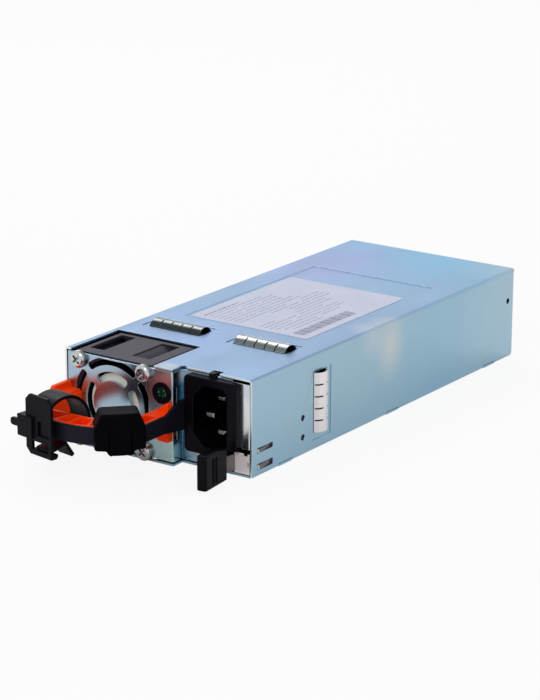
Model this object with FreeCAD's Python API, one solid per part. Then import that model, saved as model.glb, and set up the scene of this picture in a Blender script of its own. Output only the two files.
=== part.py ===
import FreeCAD, Part
import math
import os

# Hot swap server power supply: sheet metal case, fan, mains inlet, handle, latch and cord clip.
# Millimetres. The origin is the middle of the underside. +X is to the right when facing the
# inlet, +Y runs from the handle end to the card edge, and +Z is up. Names ending in FROM_LEFT,
# FROM_RIGHT or FROM_FACE are distances from that side of the case.

V = FreeCAD.Vector

# ---------------------------------------------------------------- driving sizes: case
CASE_WIDTH = 86.0
CASE_HEIGHT = 39.3
CASE_DEPTH = 204.0
FAN_BAY_WIDTH = 52.9
STEP_BACK = 6.0
COVER_WALL = 0.9
COVER_BEND = 1.4
COVER_RISE = 0.3
BASE_WALL = 1.0
BASE_FLANGE = 7.0
PANEL_WALL = 1.0
PANEL_FLANGE = 9.0
PANEL_LIP_GAP = 0.6
PANEL_TOP_GAP = 0.3
SHEET_GAP = 0.1
CORNER_FLANGE = 5.0
RELIEF_NOTCH = 2.1
LUG_LENGTH = 9.0
LUG_THICK = 0.9
LUG_FROM_FACE = (22.5, 99.5, 177.5)
REAR_HOLE_FROM_FACE = 192.7
REAR_HOLE_Z = 25.7
REAR_HOLE_RADIUS = 1.25
VENT_PITCH = 5.2
VENT_FLATS = 4.2
VENT_MARGIN = 2.5

# fan
FAN_SIZE = 38.0
FAN_DEPTH = 28.0
FAN_FROM_LEFT = 23.4
FAN_SCREW_PITCH = 32.0
FAN_SCREW_RADIUS = 1.55
FAN_SCREW_HEAD_RADIUS = 3.6
FAN_SCREW_HEAD_HEIGHT = 2.5
FAN_SCREW_LENGTH = 7.0
FAN_SCREW_CROSS = 4.0
FAN_SCREW_CROSS_WIDTH = 0.9
FAN_SCREW_CROSS_DEPTH = 1.5
FAN_BORE_RADIUS = 17.9
FAN_WALL = 1.0
FAN_HUB_RADIUS = 12.6
FAN_HUB_DEPTH = 18.0
FAN_TIP_RADIUS = 17.4
FAN_BLADES = 7
FAN_SHAFT_RADIUS = 1.5
FAN_SHAFT_PLAY = 0.03
FAN_GAP = 0.1
FAN_POCKET_DEPTH = 6.4
FAN_POCKET_BACK = 26.9
FAN_POCKETS = ((-16.0, -9.1, 6.5), (4.3, 12.9, 7.4))
FAN_CORNER_BEVEL = 0.8
FAN_WINDOW_MARGIN = 1.4
STRUT_WIDTH = 3.0
STRUT_DEPTH = 3.0
STRUT_ANGLES = (20, 110, 200, 290)
ROTOR_FACE = 2.6
ROTOR_CAP = 1.5
ROTOR_WALL = 1.6
BLADE_THICK = 0.9
BLADE_DEPTH = 13.0
BLADE_TILT = 38.0
HUB_LABEL_RADIUS = 12.1
HUB_LABEL_THICK = 0.1
BEARING_RADIUS = 4.0

# punched grille in front of the fan
GRILLE_HUB_RADIUS = 9.5
GRILLE_RING_INNER = 13.1
GRILLE_RING_OUTER = 15.9
GRILLE_RADIUS = 18.9
GRILLE_FLAT = 17.75
GRILLE_SPOKE = 3.0

# status light
LAMP_FROM_LEFT = 47.7
LAMP_ABOVE_HANDLE = 10.1
LAMP_RADIUS = 4.0
LAMP_LENS_RADIUS = 2.4
LAMP_LENS_DEPTH = 3.0
LAMP_LIP_RADIUS = 4.4
LAMP_LIP_THICK = 0.4
LAMP_DEPTH = 6.0
LAMP_BARB_WIDTH = 2.4
LAMP_BARB_LENGTH = 1.2
PIPE_RADIUS = 1.8
LED_BOARD_FROM_FACE = 26.5
LED_BOARD_THICK = 1.0
LED_BOARD_WIDTH = 10.0

# mains inlet
INLET_FROM_RIGHT = 18.0
INLET_BELOW_TOP = 2.0
INLET_BEZEL_WIDTH = 24.8
INLET_BEZEL_HEIGHT = 31.0
INLET_BEZEL_PROUD = 2.6
INLET_CORNER = 2.0
INLET_BODY_INSET = 1.1
INLET_BODY_DEPTH = 20.5
INLET_CAVITY_WIDTH = 15.8
INLET_CAVITY_HEIGHT = 24.4
INLET_CAVITY_DEPTH = 17.0
INLET_CAVITY_INSET = 0.1
INLET_CHAMFER = 4.6
INLET_EDGE_ROUND = 0.45
INLET_NOTCH_WIDTH = 5.4
INLET_TAB_WIDTH = 2.6
INLET_TAB_THICK = 1.0
INLET_TAB_REACH = 3.2
PIN_PITCH = 14.0
PIN_OFFSET = 4.0
PIN_WIDTH = 4.0
PIN_THICK = 2.0
PIN_SETBACK = 4.6
EARTH_LEAD = 2.0
TAIL_THICK = 1.0
TAIL_WIDTH = 2.4
LINE_TAIL_FROM_FACE = 27.0
NEUTRAL_TAIL_FROM_FACE = 23.0
EARTH_TAIL_FROM_FACE = 23.0

# handle
HANDLE_SIDE_GAP = 0.9
HANDLE_BULGE = 2.8
HANDLE_BELOW_MIDDLE = 0.85
HANDLE_REACH = 34.2
HANDLE_ARM = 7.5
HANDLE_RAIL_DEPTH = 10.7
HANDLE_HEIGHT = 7.0
HANDLE_WALL = 1.4
HANDLE_POCKET = 5.0
HANDLE_INNER_FILLET = 5.0
HANDLE_EDGE = 0.5
FOOT_RISE = 7.2
FOOT_HEIGHT = 15.6
FOOT_REACH_LEFT = 10.9
FOOT_REACH_RIGHT = 3.2
FOOT_WIDTH_LEFT = 6.6
FOOT_LEDGE_WIDTH = 2.0
FOOT_LEDGE_DROP = 2.8
FOOT_LEDGE_ROUND = 1.5
FOOT_CHAMFER_X = 3.2
FOOT_CHAMFER_Z = 1.6
FOOT_FLAT_RIGHT = 1.6
RIB_ANGLES = (-62.0, -35.0, -12.0, 2.0, 20.0)
TENON_WIDTH = 1.7
TENON_DEPTH = 2.8
TENON_INSET = 0.3
TENON_DROP = 1.0
TENON_RISE = 0.6
STEP_SLOT_ABOVE_HANDLE = 12.7
STEP_SLOT_DEPTH = 1.8
STEP_SLOT_SETBACK = 0.9

# cord strap and the hood that holds it down
STRAP_THICK = 1.2
STRAP_ROOT_HEIGHT = 11.6
STRAP_ROOT_ABOVE_HANDLE = 0.7
STRAP_ROOT_LENGTH = 3.4
STRAP_SHOULDER_LENGTH = 7.5
STRAP_SHOULDER_DROP = 1.3
STRAP_TAPER_LENGTH = 11.5
STRAP_LEAVE_ANGLE = -10.0
STRAP_TAIL = 14.0
STUD_RADIUS = 1.2
STUD_BACK = 1.4
STUD_ABOVE_HANDLE = 0.6
HOOD_ANGLE = 45.0
HOOD_WIDTH = 19.6
HOOD_TOP_WIDTH = 14.6
HOOD_RISE = 9.6
HOOD_DROP = 6.9
HOOD_REACH = 21.8
HOOD_DEPTH = 11.0
HOOD_SKIRT_WIDTH = 11.0
HOOD_SKIRT_DROP = 1.8
HOOD_ROUND = 1.3
HOOD_CORNER = 1.8
HOOD_GROOVE = 0.25
HOOD_GROOVE_OUT = 4.6

# cord clip, with s along the strap and heights above or below the handle's middle
CLIP_PLATE_LEFT = -10.7
CLIP_PLATE_WIDTH = 14.9
CLIP_PLATE_WALL = 1.4
CLIP_PLATE_IN = 2.6
CLIP_PLATE_RISE = 13.2
CLIP_PLATE_DROP = 10.8
CLIP_PLATE_CORNER = 2.3
CLIP_FRONT = 4.0
CLIP_LIP = 2.0
CLIP_WINDOW_HEIGHT = 3.4
CLIP_WINDOW_SILL = 2.2
CLIP_RECESS_LEFT = -3.6
CLIP_RECESS_RIGHT = 2.8
CLIP_RECESS_DROP = 2.6
CLIP_RECESS_RISE = 3.2
CLIP_RECESS_DEPTH = 0.9
CLIP_BOX_LEFT = -14.7
CLIP_BOX_WIDTH = 8.6
CLIP_BOX_HEIGHT = 8.8
CLIP_BOX_DROP = 4.5
CLIP_BOX_IN = 2.4
CLIP_BOX_PROUD = 1.0
CLIP_RING_FROM = -9.0
CLIP_RING_LENGTH = 11.0
CLIP_RING_RADIUS = 12.5
CLIP_RING_WALL = 1.3
CLIP_RING_IN = 5.7
CLIP_RING_END = 195.0
CLIP_JAW_THICK = 1.6
CLIP_JAW_LEFT = -6.0
CLIP_JAW_WIDTH = 8.0
CLIP_JAW_ROOT_IN = 1.5
CLIP_JAW_ROOT_DROP = 7.4
CLIP_JAW_CREST_IN = 5.5
CLIP_JAW_CREST_DROP = 5.6
CLIP_JAW_TIP_IN = 9.6
CLIP_JAW_TIP_DROP = 11.8
CLIP_CLEAR = 0.3
CLIP_TRAVEL = 3.0
PAWL_HEIGHT = 3.1
PAWL_BAR = 1.2
PAWL_THICK = 1.5
PAWL_TAB = 5.3
PAWL_ROOT = -6.0
PAWL_DROP = 1.7
PAWL_ROOM = 0.6
PAWL_IN = 1.0
PAWL_BACK_ROOM = 0.4
PAWL_TOOTH_FROM_END = 2.1
PAWL_TOOTH_LENGTH = 1.2
PAWL_TOOTH_INSET = 0.4

# release latch
LATCH_LEAF = 0.5
LATCH_LEAF_INSET = 0.3
LATCH_LEAF_TOP = 12.0
LATCH_LOW = 1.2
LATCH_PIVOT_FROM_FACE = 31.0
LATCH_RIVET_FROM_FACE = 34.3
LATCH_RIVET_Z = (7.2, 15.2)
LATCH_RIVET_RADIUS = 1.25
LATCH_RIVET_SUNK = 0.4
LATCH_ROOT_LENGTH = 8.0
LATCH_ROOT_TOP = 17.0
LATCH_HEIGHT = 8.4
LATCH_FACE_WIDTH = 6.7
LATCH_NOTCH = 0.9
LATCH_BARB_PROUD = 0.6
LATCH_BARB_FLAT = 1.2
LATCH_PLAY = 0.3
LATCH_OPENING_WIDTH = 12.5
LATCH_OPENING_TOP = 11.3
LATCH_CORNER_WIDTH = 10.1
LATCH_CORNER_TOP = 10.2
BARB_SLOTS = ((3.5, 13.8, 9.3, 11.3), (3.7, 13.8, 2.4, 4.9))
STEM_LOW = 2.0
STEM_HEIGHT = 6.6
STEM_SHIFT = 1.1
STEM_LENGTH = 9.0
STEM_LEAD = 1.2
LEVER_LENGTH = 16.4
LEVER_THICK = 4.3
LEVER_HEIGHT = 13.6
LEVER_BACK = 6.0
LEVER_OUT = 1.35
LEVER_SPLAY = 5.8
LEVER_BOTTOM = 0.15
LEVER_ROUND = 1.1
LEVER_ARCH = 1.5
LEVER_GROOVES = (-0.66, -0.52)
LEVER_GROOVE_WIDTH = 0.9
LEVER_GROOVE_DEPTH = 0.4

# contact springs on the case
SPRING_FINGERS = 5
SPRING_PITCH = 4.9
SPRING_SLIT = 0.6
SPRING_WEB = 2.2
SPRING_RISE = 2.6
SPRING_FLANK_RISE = 1.5
SPRING_FLANK = 1.1
SPRING_SPAN = 9.0
SPRING_FOOT = 0.8
SPRING_THICK = 0.3
SPRING_SEAT_DEPTH = 0.35
SPRING_SEAT_NEAR = 0.9
SPRING_SEAT_FAR = 2.8
SPRING_SEAT_START = 3.0
SPRING_SEAT_END = 1.0
TOP_SPRING_LEFT_FROM_LEFT = 9.3
TOP_SPRING_RIGHT_FROM_LEFT = 51.0
TOP_SPRING_FROM_FACE = 40.7
SIDE_SPRING_FROM_FACE = 46.6
SIDE_SPRING_Z = 7.0

# rating plate
PLATE_FROM_LEFT = 14.0
PLATE_FROM_FACE = 57.5
PLATE_WIDTH = 57.7
PLATE_LENGTH = 72.5
PLATE_THICK = 0.15
PLATE_CORNER = 1.5
PLATE_SEAT_DEPTH = 0.3
PLATE_SEAT_MARGIN = 1.6
PLATE_SEAT_LENGTH = 93.0

# boards
INSULATOR_THICK = 0.4
INSULATOR_REAR_GAP = 4.0
STANDOFF_HEIGHT = 4.0
STANDOFF_RADIUS = 2.75
STANDOFF_FROM_SIDE = 7.0
STANDOFF_FIRST_FROM_FACE = 33.0
STANDOFF_MIDDLE_FROM_FACE = 112.0
STANDOFF_LAST_FROM_REAR = 12.0
STANDOFF_SHIFT = 10.0
BOARD_THICK = 1.6
BOARD_SIDE_GAP = 2.6
BOARD_REAR_GAP = 1.0
BOARD_FRONT_LEFT = 26.0
BOARD_FRONT_RIGHT = 20.5
BOARD_STEP_FROM_LEFT = 55.0
BOARD_SCREW_RADIUS = 1.4
BOARD_SCREW_HEAD = 1.6
TONGUE_WIDTH = 58.0
TONGUE_PROUD = 10.0
TONGUE_FROM_LEFT = 8.0
TONGUE_CHAMFER = 1.0
FINGER_PITCH = 2.54
FINGER_WIDTH = 1.7
FINGER_LENGTH = 7.0
FINGER_THICK = 0.1
FINGER_SETBACK = 1.2

# components: places are distances from the left side and from the inlet face
CAN_RADIUS = 12.5
CAN_LENGTH = 42.0
CAN_GROOVE = 0.6
CAN_GROOVE_WIDTH = 1.6
CAN_GROOVE_FROM_END = 3.0
CAN_PLACES = ((20.0, 56.0), (47.0, 56.0))
CRADLE_WIDTH = 14.0
CRADLE_HEIGHT = 3.0
CRADLE_START = 5.0
CRADLE_END = 2.0
CORE_WIDTH = 30.0
CORE_DEPTH = 16.0
CORE_HEIGHT = 27.0
CORE_LEG = 4.0
CORE_MIDDLE_LEG = 10.0
WINDING_OUT = 5.0
WINDING_ROUND = 3.0
TRANSFORMER_PLACE = (58.0, 132.0)
COIL_FOOT = 0.8
COIL_ROUND = 0.3
COIL_BASE = 0.7
PFC_RADIUS = 13.0
PFC_BORE = 5.0
PFC_WIDTH = 16.0
PFC_PLACE = (22.0, 124.0)
EMI_RADIUS = 9.5
EMI_BORE = 4.0
EMI_WIDTH = 12.0
EMI_PLACE = (63.0, 38.0)
FILTER_WIDTH = 8.0
FILTER_LENGTH = 18.0
FILTER_HEIGHT = 15.0
FILTER_ROUND = 0.8
FILTER_PLACE = (35.0, 40.0)
SINK_PLATE = 2.0
SINK_FIN = 3.0
SINK_FIN_THICK = 1.0
SINK_FIN_PITCH = 4.0
SINK_HEIGHT = 27.0
PRIMARY_SINK_LENGTH = 56.0
PRIMARY_SINK_FROM_RIGHT = 12.0
PRIMARY_SINK_FROM_FACE = 52.0
SECONDARY_SINK_LENGTH = 40.0
SECONDARY_SINK_PLACE = (13.0, 141.0)
OUTPUT_CAN_RADIUS = 4.0
OUTPUT_CAN_HEIGHT = 16.0
OUTPUT_CAN_ROUND = 0.6
OUTPUT_CAN_PITCH = 8.6
OUTPUT_CANS = 6
OUTPUT_CAN_PLACE = (28.0, 170.0)

# ---------------------------------------------------------------- places worked out from them
LEFT = -CASE_WIDTH / 2
RIGHT = CASE_WIDTH / 2
FRONT = -CASE_DEPTH / 2
REAR = CASE_DEPTH / 2
FACE = FRONT + STEP_BACK
STEP_X = LEFT + FAN_BAY_WIDTH
CEILING = CASE_HEIGHT - COVER_WALL
INNER_LEFT = LEFT + COVER_WALL
INNER_RIGHT = RIGHT - COVER_WALL
PANEL_TOP = CEILING - PANEL_TOP_GAP
PANEL_BOTTOM = BASE_WALL + PANEL_LIP_GAP
FAN_X = LEFT + FAN_FROM_LEFT
FAN_CENTRE_Z = CASE_HEIGHT / 2
FAN_FRONT = FRONT + PANEL_WALL + FAN_GAP
FAN_BACK = FAN_FRONT + FAN_DEPTH
INLET_X = RIGHT - INLET_FROM_RIGHT
INLET_Z = CASE_HEIGHT - INLET_BELOW_TOP - INLET_BEZEL_HEIGHT / 2
BOARD_Z = BASE_WALL + STANDOFF_HEIGHT
BOARD_TOP = BOARD_Z + BOARD_THICK
HANDLE_HALF_WIDTH = (FAN_BAY_WIDTH - HANDLE_SIDE_GAP) / 2
HANDLE_BOW_RADIUS = HANDLE_HALF_WIDTH + HANDLE_BULGE
HANDLE_X = STEP_X - HANDLE_HALF_WIDTH
HANDLE_Z = CASE_HEIGHT / 2 - HANDLE_BELOW_MIDDLE
HANDLE_LOW = HANDLE_Z - HANDLE_HEIGHT / 2
HANDLE_TOP = HANDLE_Z + HANDLE_HEIGHT / 2
BOW_Y = FRONT - HANDLE_REACH + HANDLE_BOW_RADIUS
FOOT_TOP = HANDLE_Z + FOOT_RISE
FOOT_BOTTOM = FOOT_TOP - FOOT_HEIGHT
LAMP_X = LEFT + LAMP_FROM_LEFT
LAMP_Z = HANDLE_Z + LAMP_ABOVE_HANDLE
HOOD_TOP_Z = HANDLE_Z + HOOD_RISE
HOOD_BOTTOM_Z = HANDLE_Z - HOOD_DROP
CLIP_PLATE_TOP = HANDLE_Z + CLIP_PLATE_RISE
CLIP_PLATE_BOTTOM = HANDLE_Z - CLIP_PLATE_DROP
CLIP_BOX_LOW = HANDLE_Z - CLIP_BOX_DROP
PAWL_LOW = HANDLE_Z - PAWL_DROP
SPRING_ROW = SPRING_FINGERS * SPRING_PITCH
PLATE_X = LEFT + PLATE_FROM_LEFT
PLATE_Y = FACE + PLATE_FROM_FACE
EPS = 0.01


# ---------------------------------------------------------------- building helpers
def block(x0, x1, y0, y1, z0, z1):
    """Box between two corners."""
    return Part.makeBox(x1 - x0, y1 - y0, z1 - z0, V(x0, y0, z0))


def rod(radius, length, base, axis):
    """Cylinder from base along axis."""
    return Part.makeCylinder(radius, length, V(*base), V(*axis))


def prism(points, sweep):
    """Straight extrusion of a closed outline."""
    corners = [V(*p) for p in points]
    return Part.Face(Part.makePolygon(corners + corners[:1])).extrude(V(*sweep))


def plan(points, z0, z1):
    """Extrusion of an outline in plan, from z0 to z1."""
    return prism([(x, y, z0) for x, y in points], (0, 0, z1 - z0))


def joined(shapes):
    """One solid from overlapping or touching ones."""
    first = shapes[0]
    return first.fuse(shapes[1:]).removeSplitter()


def drilled(shape, tools):
    """Shape with every tool cut away."""
    return shape.cut(Part.makeCompound(tools))


def straight_edges(shape, direction, chosen):
    """Straight edges along a direction whose middle point passes the test."""
    found = []
    for edge in shape.Edges:
        if not isinstance(edge.Curve, Part.Line):
            continue
        along = edge.Vertexes[-1].Point - edge.Vertexes[0].Point
        middle = (edge.Vertexes[-1].Point + edge.Vertexes[0].Point) * 0.5
        if along.cross(V(*direction)).Length < 1e-6 * along.Length and chosen(middle):
            found.append(edge)
    return found


def ring_sector(inner, outer, half_angle):
    """Flat ring sector, thickness along +Y, centred on +Z about the origin."""
    start = 90 - half_angle
    end = 90 + half_angle

    def point(radius, angle):
        turn = math.radians(angle)
        return V(radius * math.cos(turn), 0, radius * math.sin(turn))

    outer_arc = Part.Arc(point(outer, start), point(outer, 90), point(outer, end)).toShape()
    inner_arc = Part.Arc(point(inner, end), point(inner, 90), point(inner, start)).toShape()
    side_a = Part.makeLine(point(outer, end), point(inner, end))
    side_b = Part.makeLine(point(inner, start), point(outer, start))
    return Part.Face(Part.Wire([outer_arc, side_a, inner_arc, side_b]))


# ---------------------------------------------------------------- case


def fan_window(z0, z1):
    """Opening above and below the fan, where the frame stands nearly flush with the sheet."""
    half = FAN_SIZE / 2 + FAN_WINDOW_MARGIN
    return block(FAN_X - half, FAN_X + half, FRONT - 1, FAN_BACK + FAN_WINDOW_MARGIN, z0, z1)


def spring_seat(x):
    """Shallow seat pressed in the top for a row of contact fingers."""
    near = FACE + TOP_SPRING_FROM_FACE - SPRING_SPAN / 2
    return block(LEFT + x - SPRING_SEAT_START, LEFT + x + SPRING_ROW + SPRING_SEAT_END,
                 near - SPRING_SEAT_NEAR,
                 near + SPRING_SPAN + SPRING_SEAT_FAR, CASE_HEIGHT - SPRING_SEAT_DEPTH, CASE_HEIGHT + 1)


def side_spring_seat():
    """The same seat, pressed in the right side."""
    near = FACE + SIDE_SPRING_FROM_FACE - SPRING_SPAN / 2
    return block(RIGHT - SPRING_SEAT_DEPTH, RIGHT + 1, near - SPRING_SEAT_NEAR,
                 near + SPRING_SPAN + SPRING_SEAT_FAR,
                 SIDE_SPRING_Z - SPRING_SEAT_START, SIDE_SPRING_Z + SPRING_ROW + SPRING_SEAT_END)


def cover_shell():
    """Top and both sides, bent from one sheet, with the bends rounded."""
    outer = block(LEFT, RIGHT, FRONT, REAR, COVER_RISE, CASE_HEIGHT)
    bends = straight_edges(outer, (0, 1, 0), lambda m: m.z > CEILING)
    outer = outer.makeFillet(COVER_BEND, bends)
    inner = block(INNER_LEFT, INNER_RIGHT, FRONT - 1, REAR + 1, -1, CEILING)
    bends = straight_edges(inner, (0, 1, 0), lambda m: m.z > BASE_WALL)
    return outer.cut(inner.makeFillet(COVER_BEND - COVER_WALL, bends))


def inner_bends(y0, y1):
    """Slanting tools that clear the bends inside the cover's two upper edges."""
    depth = COVER_BEND - COVER_WALL
    tools = []
    for side in (-1, 1):
        corner = side * INNER_RIGHT
        outline = [(corner, CEILING - 2 * depth), (corner, CEILING), (corner - side * 2 * depth, CEILING)]
        tools.append(prism([(x, y0, z) for x, z in outline], (0, y1 - y0, 0)))
    return tools


def rear_corner(side):
    """Side wall turned inwards round the rear corner, seen from above as a quarter ring."""
    edge = side * RIGHT
    bend = block(min(edge, edge - side * CORNER_FLANGE), max(edge, edge - side * CORNER_FLANGE),
                 REAR - CORNER_FLANGE, REAR, COVER_RISE, CEILING - SHEET_GAP)
    corner = straight_edges(bend, (0, 0, 1), lambda m: abs(m.x - edge) < EPS and m.y > REAR - EPS)
    bend = bend.makeFillet(COVER_BEND, corner)
    wall = edge - side * COVER_WALL
    hollow = block(min(wall, wall - side * CORNER_FLANGE), max(wall, wall - side * CORNER_FLANGE),
                   REAR - 2 * CORNER_FLANGE, REAR - COVER_WALL, -1, CASE_HEIGHT)
    return bend.cut(hollow)


def latch_openings():
    """Slots for the latch's barbs, and the holes of its rivets, in the cover's right side."""
    cuts = [block(INNER_RIGHT - 1, RIGHT + 1, FACE + y0, FACE + y1, z0, z1) for y0, y1, z0, z1 in BARB_SLOTS]
    for z in LATCH_RIVET_Z:
        cuts.append(rod(LATCH_RIVET_RADIUS, COVER_WALL + 2,
                        (INNER_RIGHT - 1, FACE + LATCH_RIVET_FROM_FACE, z),
                        (1, 0, 0)))
    return cuts


def side_openings(side):
    """Rear hole, room for the lugs and the end of one side, where its corner is turned inwards."""
    wall = side * RIGHT
    gap = SHEET_GAP * 2
    deep = COVER_WALL * 2
    hole = (wall - deep, FACE + REAR_HOLE_FROM_FACE, REAR_HOLE_Z)
    cuts = [rod(REAR_HOLE_RADIUS, deep * 2, hole, (1, 0, 0)),
            block(wall - deep, wall + deep, REAR - COVER_BEND, REAR + 1, -1, CEILING - SHEET_GAP)]
    for place in LUG_FROM_FACE:
        middle = FACE + place
        cuts.append(block(wall - COVER_BEND, wall + COVER_BEND, middle - LUG_LENGTH / 2 - gap,
                          middle + LUG_LENGTH / 2 + gap, -1, LUG_THICK + gap))
    return cuts


def top_cover():
    """Folded cover with the fan window, the spring and plate seats, and the latch slots."""
    shell = cover_shell()
    half_notch = RELIEF_NOTCH / 2
    cuts = [block(STEP_X, RIGHT + 1, FRONT - 1, FACE, -1, CASE_HEIGHT + 1),
            fan_window(CEILING - 1, CASE_HEIGHT + 1),
            block(STEP_X - SHEET_GAP * 3, STEP_X + RELIEF_NOTCH, FACE - half_notch, FACE + half_notch,
                  CEILING - COVER_WALL, CASE_HEIGHT + 1),
            block(INLET_X - INLET_TAB_WIDTH / 2 - SHEET_GAP * 5,
                  INLET_X + INLET_NOTCH_WIDTH - INLET_TAB_WIDTH,
                  FACE - 1, FACE + INLET_TAB_REACH, CEILING - 1, CASE_HEIGHT + 1),
            spring_seat(TOP_SPRING_LEFT_FROM_LEFT),
            spring_seat(TOP_SPRING_RIGHT_FROM_LEFT),
            side_spring_seat(),
            block(PLATE_X - PLATE_SEAT_MARGIN, PLATE_X + PLATE_WIDTH + PLATE_SEAT_MARGIN,
                  PLATE_Y - PLATE_SEAT_MARGIN, PLATE_Y + PLATE_SEAT_LENGTH,
                  CASE_HEIGHT - PLATE_SEAT_DEPTH, CASE_HEIGHT + 1)]
    cuts += latch_openings() + side_openings(-1) + side_openings(1)
    shell = drilled(shell, cuts)
    keep = block(LEFT, RIGHT, REAR - COVER_BEND, REAR, BASE_WALL + SHEET_GAP, CASE_HEIGHT)
    corners = [rear_corner(side).common(keep) for side in (-1, 1)]
    return joined([shell] + corners)


def base_tray():
    """Floor sheet with short flanges inside the cover, and lugs that hold its lower edge."""
    left = INNER_LEFT + SHEET_GAP
    right = INNER_RIGHT - SHEET_GAP
    floor = joined([block(left, STEP_X, FRONT, REAR, 0, BASE_WALL),
                    block(left, right, FACE, REAR, 0, BASE_WALL)])
    pieces = [floor]
    flange_front = {-1: FAN_BACK + 2, 1: FACE + LATCH_PIVOT_FROM_FACE + LATCH_ROOT_LENGTH + 1.3}
    for side in (-1, 1):
        wall = side * right
        pieces.append(block(min(wall, wall - side * BASE_WALL), max(wall, wall - side * BASE_WALL),
                            flange_front[side], REAR - 2, 0, BASE_FLANGE))
        for place in LUG_FROM_FACE:
            pieces.append(block(min(wall, side * RIGHT), max(wall, side * RIGHT),
                                FACE + place - LUG_LENGTH / 2, FACE + place + LUG_LENGTH / 2, 0, LUG_THICK))
    tray = joined(pieces)
    window = fan_window(-1, BASE_WALL + 1)
    cuts = [window.cut(block(LEFT, RIGHT, FRONT - 2, FAN_FRONT - FAN_GAP / 2, -2, CASE_HEIGHT))]
    for x, y in standoff_places():
        cuts.append(rod(BOARD_SCREW_RADIUS, 3, (x, y, -1), (0, 0, 1)))
    return drilled(tray, cuts)


def fan_screw_holes():
    """Clearance holes for the fan screws."""
    return [rod(FAN_SCREW_RADIUS + 0.25, PANEL_WALL * 4, (x, FRONT - PANEL_WALL, z), (0, 1, 0))
            for x, z in fan_corners()]


def grille_slots():
    """Two rings of arc slots in front of the fan, parted by four slanting spokes."""
    slots = []
    for inner, outer in ((GRILLE_HUB_RADIUS, GRILLE_RING_INNER), (GRILLE_RING_OUTER, GRILLE_RADIUS)):
        middle = (inner + outer) / 2
        half_angle = 45 - math.degrees(GRILLE_SPOKE / 2 / middle)
        face = ring_sector(inner, outer, half_angle)
        slot = face.extrude(V(0, PANEL_WALL * 4, 0))
        slot = slot.makeFillet((outer - inner) * 0.4, straight_edges(slot, (0, 1, 0), lambda m: True))
        for turn in (0, 90, 180, 270):
            copy = slot.copy()
            copy.rotate(V(0, 0, 0), V(0, 1, 0), turn)
            copy.translate(V(FAN_X, FRONT - PANEL_WALL, FAN_CENTRE_Z))
            slots.append(copy)
    frame = block(FAN_X - GRILLE_FLAT, FAN_X + GRILLE_FLAT, FRONT - PANEL_WALL * 2, FRONT + PANEL_WALL * 4,
                  FAN_CENTRE_Z - GRILLE_FLAT, FAN_CENTRE_Z + GRILLE_FLAT)
    return [slot.common(frame) for slot in slots]


def front_panel():
    """One stepped sheet: fan face, step wall and inlet face, with flanges behind both ends."""
    left = INNER_LEFT + SHEET_GAP
    right = INNER_RIGHT - SHEET_GAP
    sheet = [block(left, STEP_X, FRONT, FRONT + PANEL_WALL, PANEL_BOTTOM, PANEL_TOP),
             block(STEP_X - PANEL_WALL, STEP_X, FRONT, FACE + PANEL_WALL, PANEL_BOTTOM, PANEL_TOP),
             block(STEP_X - PANEL_WALL, right, FACE, FACE + PANEL_WALL, PANEL_BOTTOM, PANEL_TOP),
             block(left, left + PANEL_WALL, FRONT, FRONT + PANEL_FLANGE, PANEL_BOTTOM, PANEL_TOP),
             block(right - PANEL_WALL, right, FACE, FACE + PANEL_FLANGE, LATCH_OPENING_TOP + 3, PANEL_TOP)]
    panel = joined(sheet)
    bend = straight_edges(panel, (0, 0, 1), lambda m: m.y < FRONT + EPS or
                          (abs(m.x - right) < EPS and m.y < FACE + EPS))
    panel = panel.makeFillet(PANEL_WALL * 0.7, bend)
    panel = panel.cut(Part.makeCompound(inner_bends(FRONT, FACE + PANEL_FLANGE + 1)))
    cuts = grille_slots() + fan_screw_holes()
    cuts.append(rod(LAMP_RADIUS, PANEL_WALL * 4, (LAMP_X, FRONT - PANEL_WALL, LAMP_Z), (0, 1, 0)))
    cuts.append(inlet_body_box(SHEET_GAP, FACE - 1, FACE + PANEL_WALL + 1))
    cuts.append(inlet_tab(SHEET_GAP))
    cuts.append(block(RIGHT - LATCH_OPENING_WIDTH, RIGHT, FACE - 1, FACE + PANEL_WALL + 1, 0,
                      LATCH_OPENING_TOP))
    cuts.append(block(RIGHT - PANEL_FLANGE, RIGHT, FACE - 1, FACE + PANEL_WALL + 1, PANEL_TOP - 0.7,
                      PANEL_TOP + 1))
    cuts += [tenon_box(foot, SHEET_GAP * 2) for foot in (-1, 1)]
    cuts.append(block(STEP_X - PANEL_WALL - EPS, STEP_X + 1, FRONT + STEP_SLOT_SETBACK,
                      FRONT + STEP_SLOT_SETBACK + STEP_SLOT_DEPTH, FOOT_BOTTOM,
                      HANDLE_Z + STEP_SLOT_ABOVE_HANDLE))
    cuts.append(stud_rod(STUD_RADIUS + SHEET_GAP))
    return drilled(panel, cuts)


def hexagon(x, z):
    """Hexagonal vent hole through the rear wall, point upwards."""
    radius = VENT_FLATS / math.sqrt(3)
    turns = [math.radians(60 * k + 30) for k in range(6)]
    outline = [(x + radius * math.cos(a), REAR - COVER_WALL - PANEL_WALL * 2, z + radius * math.sin(a))
               for a in turns]
    return prism(outline, (0, PANEL_WALL * 4, 0))


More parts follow.
